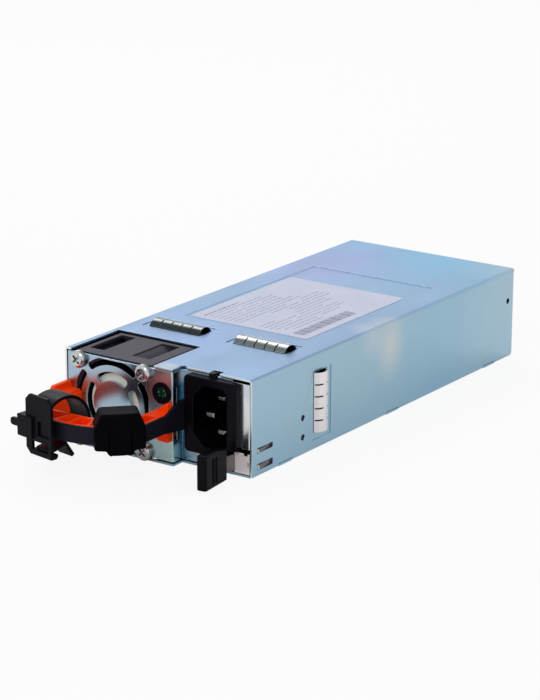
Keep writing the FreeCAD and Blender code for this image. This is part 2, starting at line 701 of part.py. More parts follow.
def rear_panel():
    """Rear wall with a field of hexagonal vents and the slot for the card edge."""
    left = INNER_LEFT + SHEET_GAP
    right = INNER_RIGHT - SHEET_GAP
    back = REAR - COVER_WALL
    top = CEILING - SHEET_GAP
    wall = joined([block(left, right, back - PANEL_WALL, back, BASE_WALL, top),
                   block(left, right, back - PANEL_FLANGE, back, top - PANEL_WALL, top)])
    row_pitch = VENT_PITCH * math.sqrt(3) / 2
    low = BOARD_TOP + VENT_MARGIN + VENT_FLATS
    rows = int((top - VENT_MARGIN - low) / row_pitch)
    columns = int((CASE_WIDTH - 2 * CORNER_FLANGE - 2 * VENT_MARGIN) / VENT_PITCH)
    cuts = []
    for row in range(rows):
        for column in range(columns - row % 2):
            x = (column - (columns - 1 - row % 2) / 2) * VENT_PITCH
            cuts.append(hexagon(x, low + VENT_FLATS / 2 + row * row_pitch))
    slot = LEFT + TONGUE_FROM_LEFT
    cuts.append(block(slot - 1, slot + TONGUE_WIDTH + 1, back - PANEL_WALL * 2, back + 1, BOARD_Z - 1,
                      BOARD_TOP + 1))
    return drilled(wall, cuts + inner_bends(back - PANEL_FLANGE - 1, back + 1))


# ---------------------------------------------------------------- contact springs and rating plate


def arch_section(inset):
    """Outline of a contact finger from the side: steep flanks under a flat arch, inset for its inner side."""
    half = SPRING_SPAN / 2 - inset
    shoulder = half - SPRING_FLANK
    low = SPRING_FLANK_RISE - inset / 2
    return [V(0, -half, 0), V(0, -shoulder, low), V(0, 0, SPRING_RISE - inset), V(0, shoulder, low),
            V(0, half, 0)]


def finger_row():
    """Row of arched contact fingers on one strip, along +X from the origin, rising along +Z."""
    outer = arch_section(0)
    inner = arch_section(SPRING_THICK)
    edges = [Part.makeLine(outer[0], outer[1]), Part.Arc(outer[1], outer[2], outer[3]).toShape(),
             Part.makeLine(outer[3], outer[4]), Part.makeLine(outer[4], inner[4]),
             Part.makeLine(inner[4], inner[3]),
             Part.Arc(inner[3], inner[2], inner[1]).toShape(), Part.makeLine(inner[1], inner[0]),
             Part.makeLine(inner[0], outer[0])]
    arch = Part.Face(Part.Wire(edges)).extrude(V(SPRING_ROW, 0, 0))
    half = SPRING_SPAN / 2
    slits = []
    for k in range(1, SPRING_FINGERS):
        x = k * SPRING_PITCH
        for side in (-1, 1):
            ends = sorted((side * SPRING_WEB / 2, side * (half + 1)))
            slits.append(block(x - SPRING_SLIT / 2, x + SPRING_SLIT / 2, ends[0], ends[1], -1,
                               SPRING_RISE + 1))
    feet = [block(0, SPRING_ROW, -half, -half + SPRING_FOOT, 0, SPRING_THICK),
            block(0, SPRING_ROW, half - SPRING_FOOT, half, 0, SPRING_THICK)]
    return joined([drilled(arch, slits)] + feet)


def top_spring(x):
    """Contact fingers seated in the top of the cover."""
    row = finger_row()
    row.translate(V(LEFT + x, FACE + TOP_SPRING_FROM_FACE, CASE_HEIGHT - SPRING_SEAT_DEPTH))
    return row


def side_spring():
    """Contact fingers seated in the right side of the cover, standing upright."""
    row = finger_row()
    row.rotate(V(0, 0, 0), V(0, 1, 0), -90)
    row.rotate(V(0, 0, 0), V(0, 0, 1), 180)
    row.translate(V(RIGHT - SPRING_SEAT_DEPTH, FACE + SIDE_SPRING_FROM_FACE, SIDE_SPRING_Z))
    return row


def rating_plate():
    """Bare plate stuck in its seat on the cover."""
    low = CASE_HEIGHT - PLATE_SEAT_DEPTH
    plate = block(PLATE_X, PLATE_X + PLATE_WIDTH, PLATE_Y, PLATE_Y + PLATE_LENGTH, low, low + PLATE_THICK)
    return plate.makeFillet(PLATE_CORNER, straight_edges(plate, (0, 0, 1), lambda m: True))


# ---------------------------------------------------------------- fan


def fan_axis_rod(radius, y0, y1):
    """Cylinder on the fan's own axis."""
    return rod(radius, y1 - y0, (FAN_X, y0, FAN_CENTRE_Z), (0, 1, 0))


def fan_corners():
    """Places of the four fan screws, in X and Z."""
    half = FAN_SCREW_PITCH / 2
    return [(FAN_X + sx * half, FAN_CENTRE_Z + sz * half) for sx in (-1, 1) for sz in (-1, 1)]


def fan_frame():
    """Square fan housing with its bore, edge pockets, rear struts, motor base and shaft."""
    half = FAN_SIZE / 2
    frame = block(FAN_X - half, FAN_X + half, FAN_FRONT, FAN_BACK, FAN_CENTRE_Z - half, FAN_CENTRE_Z + half)
    frame = frame.makeChamfer(FAN_CORNER_BEVEL, straight_edges(frame, (0, 1, 0), lambda m: True))
    tube = fan_axis_rod(FAN_BORE_RADIUS + FAN_WALL, FAN_FRONT - 1, FAN_BACK + 1)
    for x0, x1, y0 in FAN_POCKETS:
        pocket = block(FAN_X + x0, FAN_X + x1, FRONT + y0, FRONT + FAN_POCKET_BACK,
                       FAN_CENTRE_Z + half - FAN_POCKET_DEPTH, FAN_CENTRE_Z + half + 1)
        opposite = pocket.copy()
        opposite.rotate(V(FAN_X, 0, FAN_CENTRE_Z), V(0, 1, 0), 180)
        frame = drilled(frame, [pocket.cut(tube), opposite.cut(tube)])
    frame = frame.cut(fan_axis_rod(FAN_BORE_RADIUS, FAN_FRONT - 1, FAN_BACK + 1))
    for x, z in fan_corners():
        frame = frame.cut(rod(FAN_SCREW_RADIUS, FAN_DEPTH + 2, (x, FAN_FRONT - 1, z), (0, 1, 0)))
    pieces = [frame, fan_axis_rod(FAN_HUB_RADIUS, FAN_BACK - 2, FAN_BACK)]
    for turn in STRUT_ANGLES:
        strut = block(FAN_X, FAN_X + FAN_BORE_RADIUS + FAN_WALL / 2, FAN_BACK - STRUT_DEPTH, FAN_BACK,
                      FAN_CENTRE_Z - STRUT_WIDTH / 2, FAN_CENTRE_Z + STRUT_WIDTH / 2)
        strut.rotate(V(FAN_X, 0, FAN_CENTRE_Z), V(0, 1, 0), turn)
        pieces.append(strut)
    shaft_tip = FRONT + ROTOR_FACE + ROTOR_CAP + 1.5
    pieces.append(fan_axis_rod(FAN_SHAFT_RADIUS, shaft_tip, FAN_BACK - 1))
    return joined(pieces)


def fan_rotor():
    """Turning hub with seven slanting blades and a bored boss on the shaft."""
    face = FRONT + ROTOR_FACE
    back = face + FAN_HUB_DEPTH
    hub = fan_axis_rod(FAN_HUB_RADIUS, face, back)
    ring = fan_axis_rod(FAN_HUB_RADIUS - ROTOR_WALL, face + ROTOR_CAP, back + 1)
    hub = hub.cut(ring.cut(fan_axis_rod(BEARING_RADIUS, face, back + 1)))
    core = fan_axis_rod(FAN_HUB_RADIUS - ROTOR_WALL / 2, face, back)
    annulus = fan_axis_rod(FAN_TIP_RADIUS, face, back).cut(core)
    middle = (face + back) / 2
    pieces = [hub]
    for k in range(FAN_BLADES):
        blade = block(FAN_X - BLADE_THICK / 2, FAN_X + BLADE_THICK / 2, middle - BLADE_DEPTH / 2,
                      middle + BLADE_DEPTH / 2, FAN_CENTRE_Z, FAN_CENTRE_Z + FAN_TIP_RADIUS + 1)
        blade.rotate(V(FAN_X, middle, 0), V(0, 0, 1), BLADE_TILT)
        blade.rotate(V(FAN_X, 0, FAN_CENTRE_Z), V(0, 1, 0), k * 360.0 / FAN_BLADES)
        pieces.append(blade.common(annulus))
    rotor = joined(pieces)
    return rotor.cut(fan_axis_rod(FAN_SHAFT_RADIUS + FAN_SHAFT_PLAY, face + ROTOR_CAP, back + 1))


def fan_hub_label():
    """Bare disc on the face of the hub."""
    return fan_axis_rod(HUB_LABEL_RADIUS, FRONT + ROTOR_FACE - HUB_LABEL_THICK, FRONT + ROTOR_FACE)


def fan_screws():
    """Four pan head screws with cross recesses, through the panel into the fan's corners."""
    screws = []
    for x, z in fan_corners():
        head = rod(FAN_SCREW_HEAD_RADIUS, FAN_SCREW_HEAD_HEIGHT, (x, FRONT - FAN_SCREW_HEAD_HEIGHT, z),
                   (0, 1, 0))
        rim = [e for e in head.Edges if isinstance(e.Curve, Part.Circle) and
               e.CenterOfMass.y < FRONT - FAN_SCREW_HEAD_HEIGHT / 2]
        head = head.makeFillet(FAN_SCREW_HEAD_HEIGHT * 0.6, rim)
        shank = rod(FAN_SCREW_RADIUS, FAN_SCREW_LENGTH, (x, FRONT - 0.5, z), (0, 1, 0))
        screw = joined([head, shank])
        deep = FRONT - FAN_SCREW_HEAD_HEIGHT
        for turn in (45, 135):
            wing = block(x - FAN_SCREW_CROSS / 2, x + FAN_SCREW_CROSS / 2, deep - 1,
                         deep + FAN_SCREW_CROSS_DEPTH,
                         z - FAN_SCREW_CROSS_WIDTH / 2, z + FAN_SCREW_CROSS_WIDTH / 2)
            wing.rotate(V(x, 0, z), V(0, 1, 0), turn)
            screw = screw.cut(wing)
        screws.append(screw)
    return Part.makeCompound(screws)


# ---------------------------------------------------------------- lamp


def lamp_rod(radius, y0, y1):
    """Cylinder on the lamp's axis."""
    return rod(radius, y1 - y0, (LAMP_X, y0, LAMP_Z), (0, 1, 0))


def lamp_bezel():
    """Snap-in bushing round the status lamp, with two barbs behind the panel."""
    lip = lamp_rod(LAMP_LIP_RADIUS, FRONT - LAMP_LIP_THICK, FRONT)
    tube = lamp_rod(LAMP_RADIUS, FRONT - LAMP_LIP_THICK, FRONT + LAMP_DEPTH)
    barbs = lamp_rod(LAMP_LIP_RADIUS + 0.3, FRONT + PANEL_WALL, FRONT + PANEL_WALL + LAMP_BARB_LENGTH)
    strip = block(LAMP_X - LAMP_BARB_WIDTH / 2, LAMP_X + LAMP_BARB_WIDTH / 2, FRONT, FRONT + LAMP_DEPTH,
                  LAMP_Z - LAMP_LIP_RADIUS * 2, LAMP_Z + LAMP_LIP_RADIUS * 2)
    bezel = joined([lip, tube, barbs.common(strip)])
    return bezel.cut(lamp_rod(LAMP_LENS_RADIUS, FRONT - 1, FRONT + LAMP_DEPTH + 1))


def lamp_lens():
    """Domed lens at the end of the light pipe."""
    lens = lamp_rod(LAMP_LENS_RADIUS, FRONT - LAMP_LIP_THICK / 4, FRONT + LAMP_LENS_DEPTH)
    rim = [e for e in lens.Edges if isinstance(e.Curve, Part.Circle) and e.CenterOfMass.y < FRONT]
    return lens.makeFillet(LAMP_LENS_RADIUS / 4, rim)


def light_pipe():
    """Clear pipe that carries the light from the small upright board."""
    return lamp_rod(PIPE_RADIUS, FRONT + LAMP_LENS_DEPTH, FACE + LED_BOARD_FROM_FACE)


def led_board():
    """Small upright board behind the light pipe, standing on the main board."""
    front = FACE + LED_BOARD_FROM_FACE
    return block(LAMP_X - LED_BOARD_WIDTH / 2, LAMP_X + LED_BOARD_WIDTH / 2, front, front + LED_BOARD_THICK,
                 BOARD_TOP, LAMP_Z + LED_BOARD_WIDTH * 0.4)


# ---------------------------------------------------------------- mains inlet


def inlet_body_box(margin, y0, y1):
    """Box of the inlet's body behind the panel, without the corner left free for the latch."""
    half_x = INLET_BEZEL_WIDTH / 2 - INLET_BODY_INSET + margin
    half_z = INLET_BEZEL_HEIGHT / 2 - INLET_BODY_INSET + margin
    box = block(INLET_X - half_x, INLET_X + half_x, y0, y1, INLET_Z - half_z, INLET_Z + half_z)
    return box.cut(latch_corner(margin))


def latch_corner(margin):
    """Corner under the inlet that the latch passes through."""
    return block(RIGHT - LATCH_CORNER_WIDTH + margin, RIGHT, FACE - INLET_BODY_DEPTH,
                 FACE + INLET_BODY_DEPTH, 0,
                 LATCH_CORNER_TOP - margin)


def inlet_tab(margin):
    """Snap tab on top of the inlet: a short stem that hooks backwards in a notch of the cover."""
    left = INLET_X - INLET_TAB_WIDTH / 2 - margin
    right = INLET_X + INLET_TAB_WIDTH / 2 + margin
    front = FACE - INLET_TAB_THICK * 1.5
    stem = block(left, right, front - margin, front + INLET_TAB_THICK + margin,
                 INLET_Z + INLET_BEZEL_HEIGHT / 2 - 0.4 - margin, CASE_HEIGHT)
    hook = block(left, right, front, front + INLET_TAB_REACH + margin, CEILING - margin, CASE_HEIGHT)
    return joined([stem, hook])


def inlet_cavity():
    """Shaped cavity of the inlet, with two large bevels on its left side and rounded corners."""
    wide = INLET_CAVITY_WIDTH / 2
    high = INLET_CAVITY_HEIGHT / 2
    x = INLET_X - INLET_CAVITY_INSET
    bevel = INLET_CHAMFER
    small = INLET_CORNER
    upper = [(x + wide, high - small), (x + wide - small, high), (x - wide + bevel, high),
             (x - wide, high - bevel)]
    outline = [(a, INLET_Z + b) for a, b in upper] + [(a, INLET_Z - b) for a, b in reversed(upper)]
    front = FACE - INLET_BEZEL_PROUD
    cavity = prism([(a, front - 1, b) for a, b in outline], (0, INLET_CAVITY_DEPTH + 1, 0))
    return cavity.makeFillet(small * 0.4, straight_edges(cavity, (0, 1, 0), lambda m: True))


def inlet_housing():
    """Three pin inlet body with its bezel, shaped cavity and snap tab."""
    half_x = INLET_BEZEL_WIDTH / 2
    half_z = INLET_BEZEL_HEIGHT / 2
    front = FACE - INLET_BEZEL_PROUD
    bezel = block(INLET_X - half_x, INLET_X + half_x, front, FACE, INLET_Z - half_z, INLET_Z + half_z)
    bezel = bezel.makeFillet(INLET_CORNER, straight_edges(bezel, (0, 1, 0), lambda m: True))
    bezel = bezel.makeFillet(INLET_EDGE_ROUND, [e for e in bezel.Edges if e.BoundBox.YMax < front + EPS])
    bezel = bezel.cut(latch_corner(0))
    body = inlet_body_box(0, FACE - 1, front + INLET_BODY_DEPTH)
    housing = joined([bezel, body, inlet_tab(0)])
    return drilled(housing, [inlet_cavity(), live_bar(1), live_bar(-1), earth_bar()])


def live_bar(side):
    """Flat blade of the line or neutral pin, from its tip to the back of the inlet."""
    x = INLET_X + PIN_OFFSET / 2
    z = INLET_Z + side * PIN_PITCH / 2
    tip = FACE - INLET_BEZEL_PROUD + PIN_SETBACK
    tail = LINE_TAIL_FROM_FACE if side > 0 else NEUTRAL_TAIL_FROM_FACE
    return block(x - PIN_WIDTH / 2, x + PIN_WIDTH / 2, tip, FACE + tail, z - PIN_THICK / 2, z + PIN_THICK / 2)


def earth_bar():
    """Flat blade of the earth pin, which stands further forward than the other two."""
    x = INLET_X - PIN_OFFSET / 2
    tip = FACE - INLET_BEZEL_PROUD + PIN_SETBACK - EARTH_LEAD
    return block(x - PIN_WIDTH / 2, x + PIN_WIDTH / 2, tip, FACE + EARTH_TAIL_FROM_FACE,
                 INLET_Z - PIN_THICK / 2, INLET_Z + PIN_THICK / 2)


def with_tail(bar, tail_y):
    """Pin with its tapered tip and the tail that runs down to the main board."""
    box = bar.BoundBox
    bar = bar.makeChamfer(PIN_THICK * 0.3, [e for e in bar.Edges if e.CenterOfMass.y < box.YMin + EPS])
    middle = (box.XMin + box.XMax) / 2
    tail = block(middle - TAIL_WIDTH / 2, middle + TAIL_WIDTH / 2, FACE + tail_y - TAIL_THICK, FACE + tail_y,
                 BOARD_TOP, box.ZMax - 0.2)
    return joined([bar, tail])


def line_pin():
    """Line pin."""
    return with_tail(live_bar(1), LINE_TAIL_FROM_FACE)


def neutral_pin():
    """Neutral pin."""
    return with_tail(live_bar(-1), NEUTRAL_TAIL_FROM_FACE)


def earth_pin():
    """Earth pin."""
    return with_tail(earth_bar(), EARTH_TAIL_FROM_FACE)


# ---------------------------------------------------------------- handle


def bow_plan(half, radius, z0, z1):
    """Plan of the bow's outside: straight arms and a round front, back to the panel."""
    drop = math.sqrt(radius ** 2 - half ** 2)
    arms = block(HANDLE_X - half, HANDLE_X + half, BOW_Y - drop, FRONT, z0, z1)
    front = rod(radius, z1 - z0, (HANDLE_X, BOW_Y, z0), (0, 0, 1))
    front = front.common(block(HANDLE_X - half, HANDLE_X + half, BOW_Y - radius - 1, BOW_Y - drop, z0, z1))
    return joined([arms, front])


def bow_inside(grow, z0, z1):
    """Room for the fingers inside the bow, with rounded corners."""
    half = HANDLE_HALF_WIDTH - HANDLE_ARM + grow
    front = FRONT - HANDLE_REACH + HANDLE_RAIL_DEPTH - grow
    room = block(HANDLE_X - half, HANDLE_X + half, front, FRONT + 1, z0, z1)
    edges = straight_edges(room, (0, 0, 1), lambda m: m.y < front + EPS)
    return room.makeFillet(HANDLE_INNER_FILLET + grow, edges)


def left_foot():
    """Foot of the left arm: a ledge inside and a higher wall outside, rounded at its front."""
    left = HANDLE_X - HANDLE_HALF_WIDTH
    right = left + FOOT_WIDTH_LEFT
    ledge = FOOT_TOP - FOOT_LEDGE_DROP
    outline = [(left, FOOT_BOTTOM), (right - FOOT_CHAMFER_X, FOOT_BOTTOM),
               (right, FOOT_BOTTOM + FOOT_CHAMFER_Z),
               (right, ledge), (left + FOOT_LEDGE_WIDTH, ledge), (left + FOOT_LEDGE_WIDTH, FOOT_TOP),
               (left, FOOT_TOP)]
    front = FRONT - FOOT_REACH_LEFT
    foot = prism([(x, front, z) for x, z in outline], (0, FOOT_REACH_LEFT, 0))
    nose = straight_edges(foot, (1, 0, 0), lambda m: m.y < front + EPS and m.z > FOOT_TOP - EPS)
    return foot.makeFillet(FOOT_LEDGE_ROUND, nose)


def right_foot():
    """Short foot of the right arm against the panel."""
    right = HANDLE_X + HANDLE_HALF_WIDTH
    left = right - HANDLE_ARM
    outline = [(left, FOOT_BOTTOM + FOOT_CHAMFER_Z), (left + FOOT_CHAMFER_X, FOOT_BOTTOM),
               (right, FOOT_BOTTOM),
               (right, FOOT_TOP), (right - FOOT_FLAT_RIGHT, FOOT_TOP), (left + FOOT_FLAT_RIGHT, HANDLE_TOP),
               (left, HANDLE_TOP)]
    return prism([(x, FRONT - FOOT_REACH_RIGHT, z) for x, z in outline], (0, FOOT_REACH_RIGHT, 0))


def tenon_box(side, margin):
    """Tenon of one foot where it passes the panel, or its slot with a margin all round."""
    outer = HANDLE_X + side * (HANDLE_HALF_WIDTH - TENON_INSET)
    inner = outer - side * TENON_WIDTH
    if side > 0:
        outer -= PANEL_WALL
        inner -= PANEL_WALL
    low, high = min(outer, inner), max(outer, inner)
    return block(low - margin, high + margin, FRONT - 0.5, FRONT + TENON_DEPTH + margin,
                 FOOT_BOTTOM + TENON_RISE - margin, FOOT_TOP - TENON_DROP + margin)


def handle():
    """Pull handle: a bow with open pockets on top, on two feet hooked in the panel."""
    bow = bow_plan(HANDLE_HALF_WIDTH, HANDLE_BOW_RADIUS, HANDLE_LOW, HANDLE_TOP)
    bow = bow.cut(bow_inside(0, HANDLE_LOW - 1, HANDLE_TOP + 1))
    rim = [e for e in bow.Edges if abs(e.CenterOfMass.z - HANDLE_LOW) < EPS and e.CenterOfMass.y < FRONT - 2]
    bow = bow.makeChamfer(HANDLE_EDGE, rim)
    floor = HANDLE_TOP - HANDLE_POCKET
    pocket = bow_plan(HANDLE_HALF_WIDTH - HANDLE_WALL, HANDLE_BOW_RADIUS - HANDLE_WALL, floor, HANDLE_TOP + 1)
    pocket = pocket.cut(bow_inside(HANDLE_WALL, floor - 1, HANDLE_TOP + 2))
    left_end = FRONT - FOOT_REACH_LEFT - HANDLE_WALL
    right_end = FRONT - FOOT_REACH_RIGHT - HANDLE_WALL * 4
    wide = HANDLE_HALF_WIDTH + 1
    ribs = [block(HANDLE_X - wide, HANDLE_X, left_end, FRONT + 1, floor - 1, HANDLE_TOP + 2),
            block(HANDLE_X, HANDLE_X + wide, right_end, FRONT + 1, floor - 1, HANDLE_TOP + 2)]
    for angle in RIB_ANGLES:
        rib = block(HANDLE_X - HANDLE_WALL / 2, HANDLE_X + HANDLE_WALL / 2, BOW_Y - HANDLE_BOW_RADIUS,
                    BOW_Y - HANDLE_RAIL_DEPTH, floor - 1, HANDLE_TOP + 2)
        rib.rotate(V(HANDLE_X, BOW_Y, 0), V(0, 0, 1), angle)
        ribs.append(rib)
    ribs.append(hood_block(floor - 1, HANDLE_TOP + 2))
    pocket = drilled(pocket, ribs)
    body = bow.cut(pocket)
    feet = [left_foot(), right_foot()]
    for side in (-1, 1):
        feet.append(tenon_box(side, 0))
    return joined([body] + feet)


def stud_rod(radius):
    """Push stud of the strap through the step wall."""
    return rod(radius, PANEL_WALL + STRAP_THICK, (STEP_X - PANEL_WALL, FACE - STUD_BACK,
                                                  HANDLE_Z + STUD_ABOVE_HANDLE),
               (1, 0, 0))


def clip_place(shape):
    """Moves a shape from the clip's own axes (along the strap, inwards, up) to its place."""
    angle = math.radians(STRAP_LEAVE_ANGLE)
    radius = HANDLE_BOW_RADIUS + STRAP_THICK
    shape.rotate(V(0, 0, 0), V(0, 0, 1), STRAP_LEAVE_ANGLE)
    shape.translate(V(HANDLE_X + radius * math.sin(angle), BOW_Y - radius * math.cos(angle), 0))
    return shape


def strap_root():
    """Wider end of the strap on the step wall, narrowing to the band."""
    x = HANDLE_X + HANDLE_HALF_WIDTH
    back = FACE - CLIP_CLEAR
    half = STRAP_ROOT_HEIGHT / 2
    middle = HANDLE_Z + STRAP_ROOT_ABOVE_HANDLE
    outline = [(BOW_Y - 2, HANDLE_LOW), (back, middle - half), (back, middle + half),
               (FACE - STRAP_ROOT_LENGTH, middle + half),
               (FACE - STRAP_SHOULDER_LENGTH, middle + half - STRAP_SHOULDER_DROP),
               (FACE - STRAP_TAPER_LENGTH, HANDLE_TOP), (BOW_Y - 2, HANDLE_TOP)]
    return prism([(x, y, z) for y, z in outline], (STRAP_THICK, 0, 0))


def cord_strap():
    """Flat strap studded to the step wall, round the bow, with a free straight tail."""
    outer = bow_plan(HANDLE_HALF_WIDTH + STRAP_THICK, HANDLE_BOW_RADIUS + STRAP_THICK, HANDLE_LOW, HANDLE_TOP)
    inner = bow_plan(HANDLE_HALF_WIDTH, HANDLE_BOW_RADIUS, HANDLE_LOW - 1, HANDLE_TOP + 1)
    band = outer.cut(inner)
    reach = HANDLE_BOW_RADIUS * 2
    right_half = block(HANDLE_X, HANDLE_X + reach, BOW_Y - reach, FRONT, HANDLE_LOW, HANDLE_TOP)
    leave = math.radians(STRAP_LEAVE_ANGLE)
    wedge = prism([(HANDLE_X, BOW_Y, HANDLE_LOW),
                   (HANDLE_X + reach * math.sin(leave), BOW_Y - reach * math.cos(leave), HANDLE_LOW),
                   (HANDLE_X, BOW_Y - reach, HANDLE_LOW)], (0, 0, HANDLE_HEIGHT))
    band = joined([band.common(right_half), band.common(wedge)])
    tail = clip_place(block(-STRAP_TAIL, EPS * 2, 0, STRAP_THICK, HANDLE_LOW, HANDLE_TOP))
    return joined([band, strap_root(), tail, stud_rod(STUD_RADIUS)])


# ---------------------------------------------------------------- strap hood


def hood_block(z0, z1):
    """Plan of the hood: square across the bow, round in front."""
    back = BOW_Y - HOOD_REACH
    body = block(HANDLE_X - HOOD_WIDTH / 2, HANDLE_X + HOOD_WIDTH / 2, back - HOOD_WIDTH, back, z0, z1)
    body = body.common(rod(HOOD_REACH + HOOD_DEPTH, z1 - z0, (HANDLE_X, BOW_Y, z0), (0, 0, 1)))
    body.rotate(V(HANDLE_X, BOW_Y, 0), V(0, 0, 1), HOOD_ANGLE)
    return body


def hood_outline():
    """Outline of the hood from the front: a skirt below, upright sides and a narrower, rounded top."""
    low = HOOD_BOTTOM_Z + HOOD_SKIRT_DROP
    half = HOOD_WIDTH / 2
    top = HOOD_TOP_WIDTH / 2
    skirt = HOOD_SKIRT_WIDTH / 2
    right = [(skirt - 1, HOOD_BOTTOM_Z), (skirt, low), (half, low), (half, HANDLE_TOP), (top, HOOD_TOP_Z)]
    return right + [(-x, z) for x, z in reversed(right)]


def strap_hood():
    """Hood that holds the strap down on the corner of the bow."""
    back = BOW_Y - HOOD_REACH
    body = prism([(HANDLE_X + x, back - HOOD_WIDTH, z) for x, z in hood_outline()], (0, HOOD_WIDTH, 0))
    shoulders = straight_edges(body, (0, 1, 0), lambda m: m.z > HANDLE_LOW)
    body = body.makeFillet(HOOD_CORNER, shoulders)
    radius = HOOD_REACH + HOOD_DEPTH
    body = body.common(rod(radius, CASE_HEIGHT, (HANDLE_X, BOW_Y, 0), (0, 0, 1)))
    face = [e for e in body.Edges if e.BoundBox.ZMin > HOOD_TOP_Z - EPS and e.BoundBox.YMax < back - EPS]
    body = body.makeFillet(HOOD_ROUND, face)
    for x in (-HOOD_GROOVE_OUT, HOOD_GROOVE_OUT):
        body = body.cut(rod(HOOD_GROOVE, HANDLE_TOP,
                            (HANDLE_X + x, BOW_Y - math.sqrt(radius ** 2 - x ** 2), 0),
                            (0, 0, 1)))
    body.rotate(V(HANDLE_X, BOW_Y, 0), V(0, 0, 1), HOOD_ANGLE)
    rail = bow_plan(HANDLE_HALF_WIDTH + STRAP_THICK, HANDLE_BOW_RADIUS + STRAP_THICK, HANDLE_LOW, HANDLE_TOP)
    rail = rail.cut(bow_inside(0, HANDLE_LOW - 1, HANDLE_TOP + 1))
    return body.cut(rail)


# ---------------------------------------------------------------- cord clip


def clip_block(s0, s1, d0, d1, z0, z1):
    """Box in the clip's own axes: s along the strap, d outwards from its face."""
    return block(s0, s1, -d1, -d0, z0, z1)


def clip_front_plate():
    """Upright plate in front, with a pressed window low down and a recess in the middle."""
    left = CLIP_PLATE_LEFT
    right = left + CLIP_PLATE_WIDTH
    corner = CLIP_PLATE_CORNER
    outline = [(left, CLIP_PLATE_BOTTOM + corner), (left + corner, CLIP_PLATE_BOTTOM),
               (right, CLIP_PLATE_BOTTOM),
               (right, CLIP_PLATE_TOP - corner), (right - corner, CLIP_PLATE_TOP),
               (left + corner, CLIP_PLATE_TOP),
               (left, CLIP_PLATE_TOP - corner)]
    plate = prism([(s, -CLIP_FRONT, z) for s, z in outline], (0, CLIP_PLATE_WALL, 0))
    lip = clip_block(left + corner, right, CLIP_FRONT - CLIP_PLATE_WALL - CLIP_LIP, CLIP_FRONT - 1,
                     CLIP_PLATE_BOTTOM,
                     CLIP_PLATE_BOTTOM + CLIP_LIP)
    lip = lip.makeChamfer(CLIP_LIP * 0.4, straight_edges(lip, (1, 0, 0), lambda m: m.y > 1 - CLIP_FRONT
                                                         and m.z < CLIP_PLATE_BOTTOM + EPS))
    low = CLIP_PLATE_BOTTOM + CLIP_WINDOW_SILL
    window = clip_block(left + CLIP_PLATE_WIDTH * 0.24, right - CLIP_LIP, 0, CLIP_FRONT + 1, low,
                        low + CLIP_WINDOW_HEIGHT)
    recess = clip_block(CLIP_RECESS_LEFT, CLIP_RECESS_RIGHT, CLIP_FRONT - CLIP_RECESS_DEPTH, CLIP_FRONT + 1,
                        HANDLE_Z - CLIP_RECESS_DROP, HANDLE_Z + CLIP_RECESS_RISE)
    return drilled(joined([plate, lip]), [window, recess])


def clip_ring():
    """Ring over the top of the bow that holds the cord, open below at the back."""
    start = CLIP_RING_FROM
    centre = V(start, CLIP_RING_IN, HANDLE_Z)
    outer = Part.makeCylinder(CLIP_RING_RADIUS, CLIP_RING_LENGTH, centre, V(1, 0, 0))
    inner = Part.makeCylinder(CLIP_RING_RADIUS - CLIP_RING_WALL, CLIP_RING_LENGTH + 2,
                              centre - V(1, 0, 0), V(1, 0, 0))
    end = math.radians(CLIP_RING_END)
    reach = CLIP_RING_RADIUS * 2
    corners = [(0, 0), (-reach * math.cos(end), reach * math.sin(end)), (reach, -reach), (-reach, -reach),
               (-reach, 0)]
    away = prism([(start - 1, CLIP_RING_IN + y, HANDLE_Z + z) for y, z in corners],
                 (CLIP_RING_LENGTH + 2, 0, 0))
    plate = CLIP_PLATE_WALL - CLIP_FRONT - CLIP_CLEAR
    before = block(start - 1, start + CLIP_RING_LENGTH + 1, plate - reach, plate, 0, CASE_HEIGHT * 2)
    return drilled(outer, [inner, away, before])


def clip_jaw():
    """Lower jaw that springs up under the cord, turned down and rounded at its free end."""
    front = CLIP_PLATE_WALL - CLIP_FRONT - CLIP_CLEAR
    thick = CLIP_JAW_THICK
    root = HANDLE_Z - CLIP_JAW_ROOT_DROP
    crest = (CLIP_JAW_CREST_IN, HANDLE_Z - CLIP_JAW_CREST_DROP)
    tip = (CLIP_JAW_TIP_IN, HANDLE_Z - CLIP_JAW_TIP_DROP)
    outline = [(front, root), (CLIP_JAW_ROOT_IN, root + thick * 0.4), crest, tip,
               (tip[0] - thick * 0.9, tip[1] - thick / 2), (crest[0] - thick / 3, crest[1] - thick),
               (CLIP_JAW_ROOT_IN - thick * 0.2, root - thick * 0.6), (front, root - thick)]
    jaw = prism([(CLIP_JAW_LEFT, d, z) for d, z in outline], (CLIP_JAW_WIDTH, 0, 0))
    return jaw.makeFillet(thick * 0.4, straight_edges(jaw, (1, 0, 0), lambda m: m.y > tip[0] - EPS))


def clip_slider():
    """Box that runs on the strap, hollow for the pawl, standing proud of the plate."""
    box = clip_block(CLIP_BOX_LEFT, CLIP_BOX_LEFT + CLIP_BOX_WIDTH, -CLIP_BOX_IN, CLIP_FRONT + CLIP_BOX_PROUD,
                     CLIP_BOX_LOW, CLIP_BOX_LOW + CLIP_BOX_HEIGHT)
    return box.makeFillet(0.6, straight_edges(box, (0, 1, 0), lambda m: True))


def pawl_room(s0, s1):
    """Room round the pawl inside the clip, between two places along the strap."""
    return clip_block(s0, s1, 0, CLIP_PLATE_IN + PAWL_BACK_ROOM, PAWL_LOW - PAWL_ROOM,
                      PAWL_LOW + PAWL_HEIGHT + PAWL_ROOM)


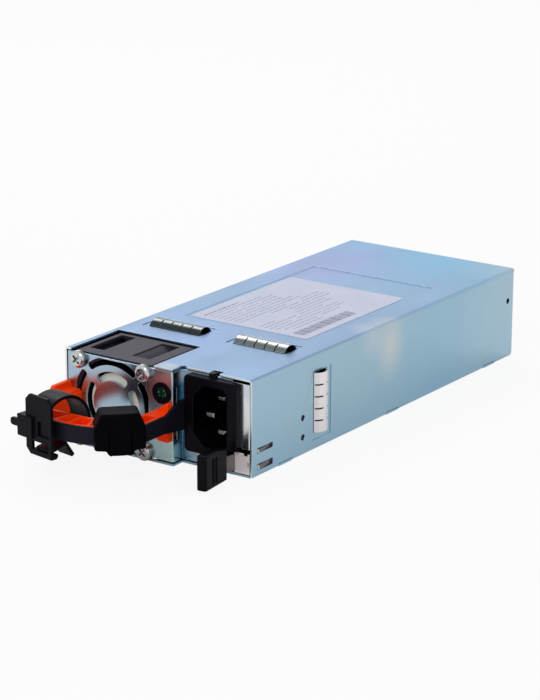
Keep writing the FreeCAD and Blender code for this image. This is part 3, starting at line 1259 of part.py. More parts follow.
def clip_hollows():
    """Room for the strap, the pawl and the bow over the whole travel of the clip."""
    clear = CLIP_CLEAR
    far = STRAP_TAIL * 3
    strap = clip_block(-far, far, -STRAP_THICK - clear, clear, HANDLE_LOW - clear, HANDLE_TOP + clear)
    pawl = pawl_room(CLIP_BOX_LEFT - 1, PAWL_ROOT + SHEET_GAP)
    radius = HANDLE_BOW_RADIUS + STRAP_THICK + clear
    high = CASE_HEIGHT
    bow = [rod(radius, high, (shift, radius - clear, 0), (0, 0, 1))
           for shift in (-CLIP_TRAVEL, 0, CLIP_TRAVEL)]
    bow.append(block(-CLIP_TRAVEL, CLIP_TRAVEL, -clear, 2 * radius, 0, high))
    inside = block(CLIP_BOX_LEFT - 1, CLIP_BOX_LEFT + CLIP_BOX_WIDTH + 1, -clear, radius, 0, high)
    return [strap, pawl, joined(bow).common(inside)]


def cord_clip():
    """Cord retainer that slides along the strap in front of the bow."""
    slider = drilled(clip_slider(), clip_hollows())
    plate = clip_front_plate().cut(pawl_room(CLIP_BOX_LEFT, PAWL_ROOT + SHEET_GAP))
    bridge = clip_block(PAWL_ROOT + SHEET_GAP, PAWL_ROOT + PAWL_BAR, PAWL_IN,
                        CLIP_FRONT - CLIP_PLATE_WALL / 2,
                        PAWL_LOW, PAWL_LOW + PAWL_HEIGHT)
    return clip_place(joined([slider, plate, clip_ring(), clip_jaw(), bridge]))


def clip_pawl():
    """Sprung pawl inside the slider, with its release tab outside."""
    low, high = PAWL_LOW, PAWL_LOW + PAWL_HEIGHT
    bend = CLIP_BOX_LEFT - PAWL_BAR
    web_end = bend + PAWL_BAR * 2 / 3
    bar = clip_block(bend, PAWL_ROOT, PAWL_IN, PAWL_IN + PAWL_BAR, low, high)
    web = clip_block(bend, web_end, PAWL_IN, CLIP_FRONT, low, high)
    tab = clip_block(CLIP_BOX_LEFT - PAWL_TAB, web_end, CLIP_FRONT - PAWL_THICK, CLIP_FRONT, low, high)
    tab = tab.makeFillet(PAWL_BAR, straight_edges(tab, (0, 1, 0), lambda m: m.x < bend - EPS))
    start = CLIP_BOX_LEFT + PAWL_TOOTH_FROM_END
    end = start + PAWL_TOOTH_LENGTH
    foot = low + PAWL_TOOTH_INSET
    tooth = prism([(start, -PAWL_IN, foot), (end, -PAWL_IN, foot), (end, -CLIP_CLEAR - EPS * 5, foot)],
                  (0, 0, PAWL_HEIGHT - 2 * PAWL_TOOTH_INSET))
    return clip_place(joined([bar, web, tab, tooth]))


# ---------------------------------------------------------------- latch


def latch_leaf_x():
    """Inner and outer face of the leaf beside the cover's right wall."""
    outer = INNER_RIGHT - LATCH_LEAF_INSET
    return outer - LATCH_LEAF, outer


def latch_face_x():
    """Free edge of the latch's front face, where the stem leaves it."""
    return latch_leaf_x()[0] - LATCH_FACE_WIDTH


def stem_plan(thick):
    """Bent stem of the latch in plan: out of the face, then along the middle of the lever."""
    x = latch_face_x()
    start = (x, FACE + LATCH_LEAF)
    bend = (x - STEM_SHIFT, FACE - LEVER_BACK - STEM_LEAD)
    lean = math.radians(LEVER_SPLAY)
    end = (bend[0] + math.sin(lean) * STEM_LENGTH, bend[1] - math.cos(lean) * STEM_LENGTH)
    line = [start, bend, end]
    return line + [(a + thick, b) for a, b in reversed(line)]


def latch_spring():
    """Sprung leaf with its barbs, the front face and the stem, bent from one strip."""
    inner, outer = latch_leaf_x()
    pivot = FACE + LATCH_PIVOT_FROM_FACE
    low = LATCH_LOW
    top = low + LATCH_HEIGHT
    outline = [(FACE, low), (FACE, top), (FACE + 2.0, top), (FACE + 3.4, LATCH_LEAF_TOP),
               (pivot, LATCH_LEAF_TOP),
               (pivot, low)]
    leaf = prism([(inner, y, z) for y, z in outline], (LATCH_LEAF, 0, 0))
    face = block(latch_face_x(), outer, FACE, FACE + LATCH_LEAF, low, top)
    notch = LATCH_NOTCH
    middle = low + LATCH_HEIGHT / 2
    notches = [block(outer - notch * 3, outer - notch, FACE - 1, FACE + LATCH_LEAF + EPS, top - notch,
                     top + 1),
               block(outer - notch, outer + 1, FACE - 1, FACE + LATCH_LEAF + EPS, middle - notch,
                     middle + notch)]
    stem = plan(stem_plan(LATCH_LEAF), STEM_LOW, STEM_LOW + STEM_HEIGHT)
    pieces = [leaf, drilled(face, notches), stem]
    tip = RIGHT + LATCH_BARB_PROUD
    for y0, y1, z0, z1 in BARB_SLOTS:
        start = FACE + y0 + LATCH_PLAY
        end = FACE + y1 - LATCH_PLAY
        barb = [(inner, start), (tip, start), (tip, start + LATCH_BARB_FLAT), (outer, end), (inner, end)]
        pieces.append(plan(barb, z0 + LATCH_PLAY, z1 - LATCH_PLAY))
    return joined(pieces)


def latch_root():
    """Fixed end of the latch strip, riveted inside the right wall."""
    inner = latch_leaf_x()[0]
    start = FACE + LATCH_PIVOT_FROM_FACE + SHEET_GAP
    root = block(inner, INNER_RIGHT, start, start + LATCH_ROOT_LENGTH, LATCH_LOW + 0.3, LATCH_ROOT_TOP)
    root = root.makeFillet(1.0, straight_edges(root, (1, 0, 0), lambda m: m.y > start + 1))
    return drilled(root, latch_rivet_rods())


def latch_rivet_rods():
    """Shanks of the two latch rivets, a little below the case's surface."""
    inner = latch_leaf_x()[0]
    length = RIGHT - LATCH_RIVET_SUNK - inner
    return [rod(LATCH_RIVET_RADIUS, length, (inner, FACE + LATCH_RIVET_FROM_FACE, z), (1, 0, 0))
            for z in LATCH_RIVET_Z]


def latch_rivets():
    """Two flush rivets through the right wall, with round heads inside."""
    inner = latch_leaf_x()[0]
    rivets = []
    for z, shank in zip(LATCH_RIVET_Z, latch_rivet_rods()):
        head = rod(LATCH_RIVET_RADIUS * 1.6, 0.7, (inner - 0.7, FACE + LATCH_RIVET_FROM_FACE, z), (1, 0, 0))
        rivets.append(joined([shank, head]))
    return Part.makeCompound(rivets)


def lever_side():
    """Side view of the lever: flat below, with a slightly arched top that rises to the front."""
    back_z = LEVER_BOTTOM + LEVER_HEIGHT - 1.3
    front_z = LEVER_BOTTOM + LEVER_HEIGHT + 0.3
    foot = V(0, 0, LEVER_BOTTOM)
    nose = V(0, -LEVER_LENGTH, LEVER_BOTTOM)
    heel = V(0, 0, back_z)
    tip = V(0, -LEVER_LENGTH, front_z)
    arch = Part.Arc(heel, V(0, -LEVER_LENGTH / 2, back_z + LEVER_ARCH), tip).toShape()
    return Part.Face(Part.Wire([Part.makeLine(foot, heel), arch, Part.makeLine(tip, nose),
                                Part.makeLine(nose, foot)]))


def release_lever():
    """Finger lever moulded on the stem, rounded, with grip grooves and a higher front end."""
    cap = lever_side().extrude(V(-LEVER_THICK, 0, 0))
    cap = cap.makeFillet(LEVER_ROUND, straight_edges(cap, (0, 0, 1), lambda m: True))
    top = LEVER_BOTTOM + LEVER_HEIGHT - 1
    long_edges = [e for e in cap.Edges if e.CenterOfMass.z > top and e.BoundBox.YLength > LEVER_LENGTH / 2]
    cap = cap.makeFillet(0.7, long_edges)
    half = LEVER_GROOVE_WIDTH / 2
    grooves = []
    for share in LEVER_GROOVES:
        y = LEVER_LENGTH * share
        for x in (-LEVER_GROOVE_DEPTH, -LEVER_THICK - 1):
            grooves.append(block(x, x + 1 + LEVER_GROOVE_DEPTH, y - half, y + half, LEVER_BOTTOM + 1.5,
                                 top - 0.9))
    cap = drilled(cap, grooves)
    cap.rotate(V(0, 0, 0), V(0, 0, 1), LEVER_SPLAY)
    cap.translate(V(latch_face_x() + LEVER_OUT, FACE - LEVER_BACK, 0))
    return cap.cut(plan(stem_plan(LATCH_LEAF), STEM_LOW, STEM_LOW + STEM_HEIGHT))


# ---------------------------------------------------------------- inside


def standoff_places():
    """Places of the pillars in X and Y: three rows, the first clear of the inlet."""
    left = LEFT + STANDOFF_FROM_SIDE
    right = RIGHT - STANDOFF_FROM_SIDE
    first = FACE + STANDOFF_FIRST_FROM_FACE
    middle = FACE + STANDOFF_MIDDLE_FROM_FACE
    last = REAR - STANDOFF_LAST_FROM_REAR
    return [(left, first), (right, first + STANDOFF_SHIFT), (left, middle), (right, middle), (left, last),
            (right, last), (FAN_X + FAN_SIZE / 2 + STANDOFF_RADIUS, first)]


def standoffs():
    """Round pillars between the floor and the main board, bored for the screws."""
    pillars = []
    for x, y in standoff_places():
        pillar = rod(STANDOFF_RADIUS, STANDOFF_HEIGHT, (x, y, BASE_WALL), (0, 0, 1))
        pillars.append(pillar.cut(rod(BOARD_SCREW_RADIUS, STANDOFF_HEIGHT + 2, (x, y, 0), (0, 0, 1))))
    return Part.makeCompound(pillars)


def board_screws():
    """Screws from above through the main board into the pillars."""
    screws = []
    for x, y in standoff_places():
        head = rod(BOARD_SCREW_RADIUS * 2, BOARD_SCREW_HEAD, (x, y, BOARD_TOP), (0, 0, 1))
        shank = rod(BOARD_SCREW_RADIUS, BOARD_THICK + STANDOFF_HEIGHT, (x, y, BASE_WALL), (0, 0, 1))
        screws.append(joined([head, shank]))
    return Part.makeCompound(screws)


def insulator_sheet():
    """Thin insulating sheet on the floor, cut out round the pillars."""
    inset = BOARD_SIDE_GAP
    sheet = block(INNER_LEFT + inset, INNER_RIGHT - inset, FACE + BOARD_FRONT_LEFT, REAR - INSULATOR_REAR_GAP,
                  BASE_WALL, BASE_WALL + INSULATOR_THICK)
    return drilled(sheet, [rod(STANDOFF_RADIUS, 3, (x, y, 0.5), (0, 0, 1)) for x, y in standoff_places()])


def main_board():
    """Main circuit board, stepped round the fan, with the plug tongue at the rear."""
    left = INNER_LEFT + BOARD_SIDE_GAP
    right = INNER_RIGHT - BOARD_SIDE_GAP
    rear = REAR - COVER_WALL - PANEL_WALL - BOARD_REAR_GAP
    board = joined([block(left, right, FACE + BOARD_FRONT_LEFT, rear, BOARD_Z, BOARD_TOP),
                    block(LEFT + BOARD_STEP_FROM_LEFT, right, FACE + BOARD_FRONT_RIGHT, rear, BOARD_Z,
                          BOARD_TOP)])
    start = LEFT + TONGUE_FROM_LEFT
    tongue = block(start, start + TONGUE_WIDTH, rear - 1, REAR + TONGUE_PROUD, BOARD_Z, BOARD_TOP)
    tongue = tongue.makeChamfer(TONGUE_CHAMFER, straight_edges(tongue, (0, 0, 1), lambda m: m.y > REAR))
    holes = [rod(BOARD_SCREW_RADIUS, BOARD_THICK + 2, (x, y, BOARD_Z - 1), (0, 0, 1))
             for x, y in standoff_places()]
    return drilled(joined([board, tongue]), holes)


def gold_fingers():
    """Contact pads on both faces of the tongue."""
    count = int((TONGUE_WIDTH - 2 * TONGUE_CHAMFER) / FINGER_PITCH)
    start = LEFT + TONGUE_FROM_LEFT + (TONGUE_WIDTH - (count - 1) * FINGER_PITCH) / 2
    end = REAR + TONGUE_PROUD - FINGER_SETBACK
    pads = []
    for k in range(count):
        x = start + k * FINGER_PITCH
        for z in (BOARD_TOP, BOARD_Z - FINGER_THICK):
            pads.append(block(x - FINGER_WIDTH / 2, x + FINGER_WIDTH / 2, end - FINGER_LENGTH, end, z,
                              z + FINGER_THICK))
    return Part.makeCompound(pads)


def seated(shape, place):
    """Puts a component, built about the origin, at its place on the main board."""
    shape.translate(V(LEFT + place[0], FACE + place[1], BOARD_TOP))
    return shape


def bulk_capacitors():
    """Two lying electrolytic cans on their cradles."""
    cans = []
    for place in CAN_PLACES:
        can = rod(CAN_RADIUS, CAN_LENGTH, (0, 0, CAN_RADIUS), (0, 1, 0))
        groove = rod(CAN_RADIUS + 1, CAN_GROOVE_WIDTH, (0, CAN_GROOVE_FROM_END, CAN_RADIUS), (0, 1, 0))
        core = rod(CAN_RADIUS - CAN_GROOVE, CAN_GROOVE_WIDTH, (0, CAN_GROOVE_FROM_END, CAN_RADIUS), (0, 1, 0))
        cradle = block(-CRADLE_WIDTH / 2, CRADLE_WIDTH / 2, CRADLE_START, CAN_LENGTH - CRADLE_END, 0,
                       CRADLE_HEIGHT)
        cans.append(seated(joined([can.cut(groove.cut(core)), cradle]), place))
    return Part.makeCompound(cans)


def winding_window(side):
    """Window of the transformer's core beside its middle leg."""
    ends = sorted((side * CORE_MIDDLE_LEG / 2, side * (CORE_WIDTH / 2 - CORE_LEG)))
    return block(ends[0], ends[1], -CORE_DEPTH, CORE_DEPTH, CORE_LEG, CORE_HEIGHT - CORE_LEG)


def transformer_core():
    """Ferrite core with two windows round its middle leg."""
    core = block(-CORE_WIDTH / 2, CORE_WIDTH / 2, -CORE_DEPTH / 2, CORE_DEPTH / 2, 0, CORE_HEIGHT)
    return seated(drilled(core, [winding_window(-1), winding_window(1)]), TRANSFORMER_PLACE)


def transformer_winding():
    """Taped winding round the middle leg of the core."""
    half_x = CORE_WIDTH / 2 - CORE_LEG
    half_y = CORE_DEPTH / 2 + WINDING_OUT
    coil = block(-half_x, half_x, -half_y, half_y, CORE_LEG, CORE_HEIGHT - CORE_LEG)
    coil = coil.makeFillet(WINDING_ROUND, straight_edges(coil, (0, 0, 1), lambda m: True))
    leg = block(-CORE_MIDDLE_LEG / 2, CORE_MIDDLE_LEG / 2, -CORE_DEPTH / 2, CORE_DEPTH / 2, 0, CORE_HEIGHT)
    return seated(coil.cut(leg), TRANSFORMER_PLACE)


def upright_coil(radius, bore, width):
    """Ring wound coil standing on its base."""
    middle = radius + COIL_FOOT
    ring = rod(radius, width, (0, -width / 2, middle), (0, 1, 0))
    rims = [e for e in ring.Edges if isinstance(e.Curve, Part.Circle)]
    ring = ring.makeFillet(width * COIL_ROUND, rims).cut(rod(bore, width + 2, (0, -width / 2 - 1, middle),
                                                             (0, 1, 0)))
    half = radius * COIL_BASE
    return joined([ring, block(-half, half, -width / 2, width / 2, 0, radius / 2)])


def pfc_choke():
    """Boost choke beside the bulk capacitors."""
    coil = upright_coil(PFC_RADIUS, PFC_BORE, PFC_WIDTH)
    coil.rotate(V(0, 0, 0), V(0, 0, 1), 90)
    return seated(coil, PFC_PLACE)


def emi_choke():
    """Common mode choke behind the inlet."""
    return seated(upright_coil(EMI_RADIUS, EMI_BORE, EMI_WIDTH), EMI_PLACE)


def filter_capacitor():
    """Box shaped line filter capacitor."""
    box = block(-FILTER_WIDTH / 2, FILTER_WIDTH / 2, -FILTER_LENGTH / 2, FILTER_LENGTH / 2, 0, FILTER_HEIGHT)
    return seated(box.makeFillet(FILTER_ROUND, straight_edges(box, (0, 0, 1), lambda m: True)), FILTER_PLACE)


def finned_plate(length):
    """Upright heat sink plate with short fins on its outer side."""
    half = SINK_PLATE / 2
    pieces = [block(-half, half, 0, length, 0, SINK_HEIGHT)]
    for k in range(int(SINK_HEIGHT / SINK_FIN_PITCH)):
        low = SINK_FIN_PITCH * (k + 1) - SINK_FIN_THICK
        pieces.append(block(-half, half + SINK_FIN, 0, length, low, low + SINK_FIN_THICK))
    return joined(pieces)


def heatsink_primary():
    """Heat sink of the mains side switches."""
    place = (CASE_WIDTH - PRIMARY_SINK_FROM_RIGHT, PRIMARY_SINK_FROM_FACE)
    return seated(finned_plate(PRIMARY_SINK_LENGTH), place)


def heatsink_secondary():
    """Heat sink of the output rectifiers."""
    return seated(finned_plate(SECONDARY_SINK_LENGTH), SECONDARY_SINK_PLACE)


def output_capacitors():
    """Row of upright output capacitors near the card edge."""
    cans = []
    for k in range(OUTPUT_CANS):
        can = rod(OUTPUT_CAN_RADIUS, OUTPUT_CAN_HEIGHT, (k * OUTPUT_CAN_PITCH, 0, 0), (0, 0, 1))
        rim = [e for e in can.Edges if isinstance(e.Curve, Part.Circle) and e.CenterOfMass.z > 1]
        cans.append(seated(can.makeFillet(OUTPUT_CAN_ROUND, rim), OUTPUT_CAN_PLACE))
    return Part.makeCompound(cans)


NODES = {
    "base_tray": base_tray,
    "top_cover": top_cover,
    "front_panel": front_panel,
    "rear_panel": rear_panel,
    "fan_frame": fan_frame,
    "fan_rotor": fan_rotor,
    "fan_hub_label": fan_hub_label,
    "fan_screws": fan_screws,
    "lamp_bezel": lamp_bezel,
    "lamp_lens": lamp_lens,
    "light_pipe": light_pipe,
    "led_board": led_board,
    "inlet_housing": inlet_housing,
    "line_pin": line_pin,
    "neutral_pin": neutral_pin,
    "earth_pin": earth_pin,
    "handle": handle,
    "cord_strap": cord_strap,
    "strap_hood": strap_hood,
    "cord_clip": cord_clip,
    "clip_pawl": clip_pawl,
    "latch_spring": latch_spring,
    "latch_root": latch_root,
    "latch_rivets": latch_rivets,
    "release_lever": release_lever,
    "contact_spring_top_left": lambda: top_spring(TOP_SPRING_LEFT_FROM_LEFT),
    "contact_spring_top_right": lambda: top_spring(TOP_SPRING_RIGHT_FROM_LEFT),
    "contact_spring_side": side_spring,
    "rating_plate": rating_plate,
    "insulator_sheet": insulator_sheet,
    "standoffs": standoffs,
    "board_screws": board_screws,
    "main_board": main_board,
    "gold_fingers": gold_fingers,
    "bulk_capacitors": bulk_capacitors,
    "transformer_core": transformer_core,
    "transformer_winding": transformer_winding,
    "pfc_choke": pfc_choke,
    "emi_choke": emi_choke,
    "filter_capacitor": filter_capacitor,
    "heatsink_primary": heatsink_primary,
    "heatsink_secondary": heatsink_secondary,
    "output_capacitors": output_capacitors,
}

os.makedirs("parts", exist_ok=True)
for name, make in NODES.items():
    make().exportStep("parts/" + name + ".step")
    print(name)
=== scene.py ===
"""Looks of a hot swap server power supply: plated sheet, moulded plastics and small fittings."""

import logging
import math
from dataclasses import dataclass, field
from enum import Enum
from typing import Iterable, Optional, Sequence, Union

import bpy
from mathutils import Matrix, Vector


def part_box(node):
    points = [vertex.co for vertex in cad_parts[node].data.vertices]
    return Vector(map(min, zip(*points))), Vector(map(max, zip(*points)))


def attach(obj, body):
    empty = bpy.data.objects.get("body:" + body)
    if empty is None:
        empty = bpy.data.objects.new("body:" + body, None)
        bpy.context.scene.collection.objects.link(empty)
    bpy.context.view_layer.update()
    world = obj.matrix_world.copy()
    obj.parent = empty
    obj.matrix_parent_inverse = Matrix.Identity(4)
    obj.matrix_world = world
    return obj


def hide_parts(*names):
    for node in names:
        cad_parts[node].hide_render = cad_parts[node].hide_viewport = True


LOG = logging.getLogger("power_supply")
Colour = tuple[float, float, float]
Stop = tuple[float, Colour]
Socket = bpy.types.NodeSocket
Piece = bpy.types.Object
MM = 0.001
PREFIX = "finish_"

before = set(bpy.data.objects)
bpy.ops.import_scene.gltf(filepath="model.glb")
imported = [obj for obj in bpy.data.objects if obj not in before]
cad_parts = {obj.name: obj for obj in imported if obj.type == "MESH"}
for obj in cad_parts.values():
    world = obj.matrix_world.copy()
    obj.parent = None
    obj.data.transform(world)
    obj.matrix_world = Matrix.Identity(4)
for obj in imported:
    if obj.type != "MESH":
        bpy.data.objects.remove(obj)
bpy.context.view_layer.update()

# Light on level and on upright faces, by which tint() divides a display colour.
SKY = 1.04
GROUND = 0.62

# Features of the patterns per metre along each axis.
CLOUDS = (24.0, 12.0, 18.0)
ROLLED_GRAIN = (900.0, 120.0, 900.0)
SMEARS = (50.0, 20.0, 50.0)
WEAR = (120.0, 120.0, 120.0)
FLOW = (70.0, 70.0, 70.0)
HAZE = (500.0, 500.0, 500.0)
GLINT_SCALE = (1300.0, 1300.0, 1300.0)

# Where a face's normal starts to take, and fully takes, the tint of a direction; these tints carry painted
# light and shade.
TURNED_RIGHT = (0.5, 0.9)
TURNED_UP = (0.35, 0.85)
TURNED_NEAR = (-0.95, -0.6)
TURNED_FADE = 0.4

# Passivated zinc: how far the tints wander, how ragged a patch is and where it fades out.
DRIFT = 0.2
RAGGED = 0.5
PATCH_EDGE = (0.2, 1.1)
WORN_ZINC = (0.80, 0.82, 0.84)
# Painted shade for the sheet's inner faces.
PAINTED_INSIDE_SHADE = (0.020, 0.034, 0.040)
# Painted shade for the sheet under the contact rows.
PAINTED_SEAT_SHADE = (0.004, 0.012, 0.016)
CUT_REACH = 0.007
FOOTPRINT_MARGIN = 0.22 * MM
GRAIN_DEPTH = 0.00001
BOARD_RELIEF = 0.00003

# Clear plastic: gloss, and how much of it comes with transparency; tint of its depth.
CLEAR_GLOSS = 0.15
CLEAR_GLOSS_GAIN = 0.35
DEEP_SHARE = 0.6

# Blender's mix node has its colours at these sockets; its wave repeats at this rate.
MIX_FIRST, MIX_SECOND, MIX_RESULT = 6, 7, 2
WAVE_RATE = 20.0

# Mesh repair: welding distance, and when a bevelled vertex counts as stray.
WELD = 0.002 * MM
STRAY_PAST_BOX = 0.01 * MM
STRAY_OFFSET = 0.85
STRAY_OUTWARD = 0.35
NORMAL_WEIGHT = 80


def tint(red: float, green: float, blue: float, light: float = 1.0) -> Colour:
    """Linear colour of a display colour.

    Args:
        red: red from 0 to 255.
        green: green from 0 to 255.
        blue: blue from 0 to 255.
        light: how brightly the surface is lit; the colour is divided by it.

    Returns:
        The linear colour, each part between 0 and 1.
    """
    parts = ((value / 255.0 + 0.055) / 1.055 for value in (red, green, blue))
    return tuple(min(1.0, part ** 2.4 / light) for part in parts)


class Body(Enum):
    """Bodies of the frame that a piece can ride on."""

    CASE = "case"
    ROTOR = "rotor"
    CLIP = "clip"
    PAWL = "pawl"
    LATCH = "latch"


# ---------------------------------------------------------------- finishes
class Shade:
    """Builds the node tree of one finish, on Object coordinates."""

    def __init__(self, name: str) -> None:
        """Starts an empty material.

        Args:
            name: name of the material.
        """
        self.material = bpy.data.materials.new(PREFIX + name)
        self.material.use_nodes = True
        self.tree = self.material.node_tree
        self.surface = self.tree.nodes["Principled BSDF"]
        self.places = self.node("ShaderNodeTexCoord")

    def node(self, kind: str, **settings: object) -> bpy.types.Node:
        """Adds a node.

        Args:
            kind: Blender's name of the node type.
            **settings: properties to set on the node.

        Returns:
            The new node.
        """
        made = self.tree.nodes.new(kind)
        for key, value in settings.items():
            setattr(made, key, value)
        return made

    def link(self, source: Socket, target: Socket) -> None:
        """Joins an output to an input."""
        self.tree.links.new(source, target)

    def fixed(self, **values: object) -> None:
        """Sets single values on the surface's own sockets.

        Args:
            **values: the values, named as the sockets are, with underscores for spaces.
        """
        for key, value in values.items():
            socket = self.surface.inputs[key.replace("_", " ")]
            socket.default_value = (*value, 1.0) if isinstance(value, tuple) else value

    def stretched(self, scale: Sequence[float]) -> Socket:
        """Scales the Object coordinates.

        Args:
            scale: factor along each axis.

        Returns:
            The scaled coordinates.
        """
        mapping = self.node("ShaderNodeMapping")
        mapping.inputs["Scale"].default_value = tuple(scale)
        self.link(self.places.outputs["Object"], mapping.inputs["Vector"])
        return mapping.outputs["Vector"]

    def noise(self, scale: Sequence[float], detail: float = 3.0, rough: float = 0.5) -> Socket:
        """Soft noise.

        Args:
            scale: features per metre along each axis.
            detail: octaves.
            rough: share of the finer octaves.

        Returns:
            The noise value, about 0 to 1.
        """
        made = self.node("ShaderNodeTexNoise")
        made.inputs["Scale"].default_value = 1.0
        made.inputs["Detail"].default_value = detail
        made.inputs["Roughness"].default_value = rough
        self.link(self.stretched(scale), made.inputs["Vector"])
        return made.outputs["Fac"]

    def ramp(self, value: Socket, stops: Iterable[Stop]) -> Socket:
        """Runs a value through a colour ramp.

        Args:
            value: the value, from 0 to 1.
            stops: place and colour of each stop.

        Returns:
            The colour.
        """
        made = self.node("ShaderNodeValToRGB")
        made.color_ramp.interpolation = "EASE"
        elements = made.color_ramp.elements
        ordered = list(stops)
        while len(elements) < len(ordered):
            elements.new(0.5)
        for element, (place, colour) in zip(elements, ordered):
            element.position = place
            element.color = (*colour, 1.0)
        self.link(value, made.inputs["Fac"])
        return made.outputs["Color"]

    def spread(self, value: Socket, low: float, high: float, start: float = 0.0,
               end: float = 1.0) -> Socket:
        """Maps a value from one range to another, clamped.

        Args:
            value: the value.
            low: result at the start of the value's range.
            high: result at its end.
            start: where the value's range starts.
            end: where it ends.

        Returns:
            The mapped value.
        """
        made = self.node("ShaderNodeMapRange")
        for name, number in (("From Min", start), ("From Max", end), ("To Min", low), ("To Max", high)):
            made.inputs[name].default_value = number
        self.link(value, made.inputs["Value"])
        return made.outputs["Result"]

    def math(self, operation: str, first: Union[Socket, float],
             second: Union[Socket, float, None] = None) -> Socket:
        """Works out one operation.

        Args:
            operation: Blender's name of the operation.
            first: first value.
            second: second value, or None where the operation takes one.

        Returns:
            The result.
        """
        made = self.node("ShaderNodeMath", operation=operation)
        for slot, value in enumerate((first, second)):
            if isinstance(value, Socket):
                self.link(value, made.inputs[slot])
            elif value is not None:
                made.inputs[slot].default_value = value
        return made.outputs["Value"]

    def sum(self, first: Socket, second: Socket, share: float) -> Socket:
        """Adds a share of one value to another.

        Args:
            first: value that is taken whole.
            second: value of which a share is taken.
            share: the share.

        Returns:
            The sum.
        """
        made = self.node("ShaderNodeMath", operation="MULTIPLY_ADD")
        made.inputs[1].default_value = share
        self.link(second, made.inputs[0])
        self.link(first, made.inputs[2])
        return made.outputs["Value"]

    def mixed(self, value: Socket, first: Union[Socket, Colour], second: Union[Socket, Colour]) -> Socket:
        """Mixes two colours.

        Args:
            value: 0 for the first colour and 1 for the second.
            first: first colour.
            second: second colour.

        Returns:
            The mixed colour.
        """
        made = self.node("ShaderNodeMix", data_type="RGBA", blend_type="MIX")
        self.link(value, made.inputs[0])
        for slot, colour in ((MIX_FIRST, first), (MIX_SECOND, second)):
            if isinstance(colour, tuple):
                made.inputs[slot].default_value = (*colour, 1.0)
            else:
                self.link(colour, made.inputs[slot])
        return made.outputs[MIX_RESULT]

    def coloured(self, colour: Socket) -> None:
        """Gives the surface its colour."""
        self.link(colour, self.surface.inputs["Base Color"])

    def roughened(self, value: Socket, low: float, high: float, start: float = 0.3, end: float = 0.7) -> None:
        """Lets the roughness follow a value.

        Args:
            value: the value.
            low: roughness where the value's range starts.
            high: roughness where it ends.
            start: start of the value's range.
            end: end of the value's range.
        """
        self.link(self.spread(value, low, high, start, end), self.surface.inputs["Roughness"])

    def bump(self, height: Socket, depth: float, strength: float) -> None:
        """Raises the surface.

        Args:
            height: height, from 0 to 1.
            depth: distance in metres that the height stands for.
            strength: share of the effect.
        """
        made = self.node("ShaderNodeBump")
        made.inputs["Strength"].default_value = strength
        made.inputs["Distance"].default_value = depth
        self.link(height, made.inputs["Height"])
        self.link(made.outputs["Normal"], self.surface.inputs["Normal"])


@dataclass(frozen=True)
class Finish:
    """A surface finish; each kind builds its own material once.

    Attributes:
        name: name of the finish.
        slot: the part's own material that the finish stands for; not used.
    """

    name: str
    slot: str

    def build(self) -> bpy.types.Material:
        """Makes the material.

        Returns:
            The material.
        """
        raise NotImplementedError

    def material(self) -> bpy.types.Material:
        """Returns the finish's material, made on first use."""
        return bpy.data.materials.get(PREFIX + self.name) or self.build()


@dataclass(frozen=True)
class TintAndHighlightPatch:
    """Soft patch of another colour on the sheet: some are tints of the passivate, others painted highlights
    and a painted reflection.

    Attributes:
        centre: middle of the patch in metres.
        reach: half its extent along each axis in metres.
        colour: its tint.
        share: how strong it is in the middle.
    """

    centre: tuple[float, float, float]
    reach: tuple[float, float, float]
    colour: Colour
    share: float = 0.8


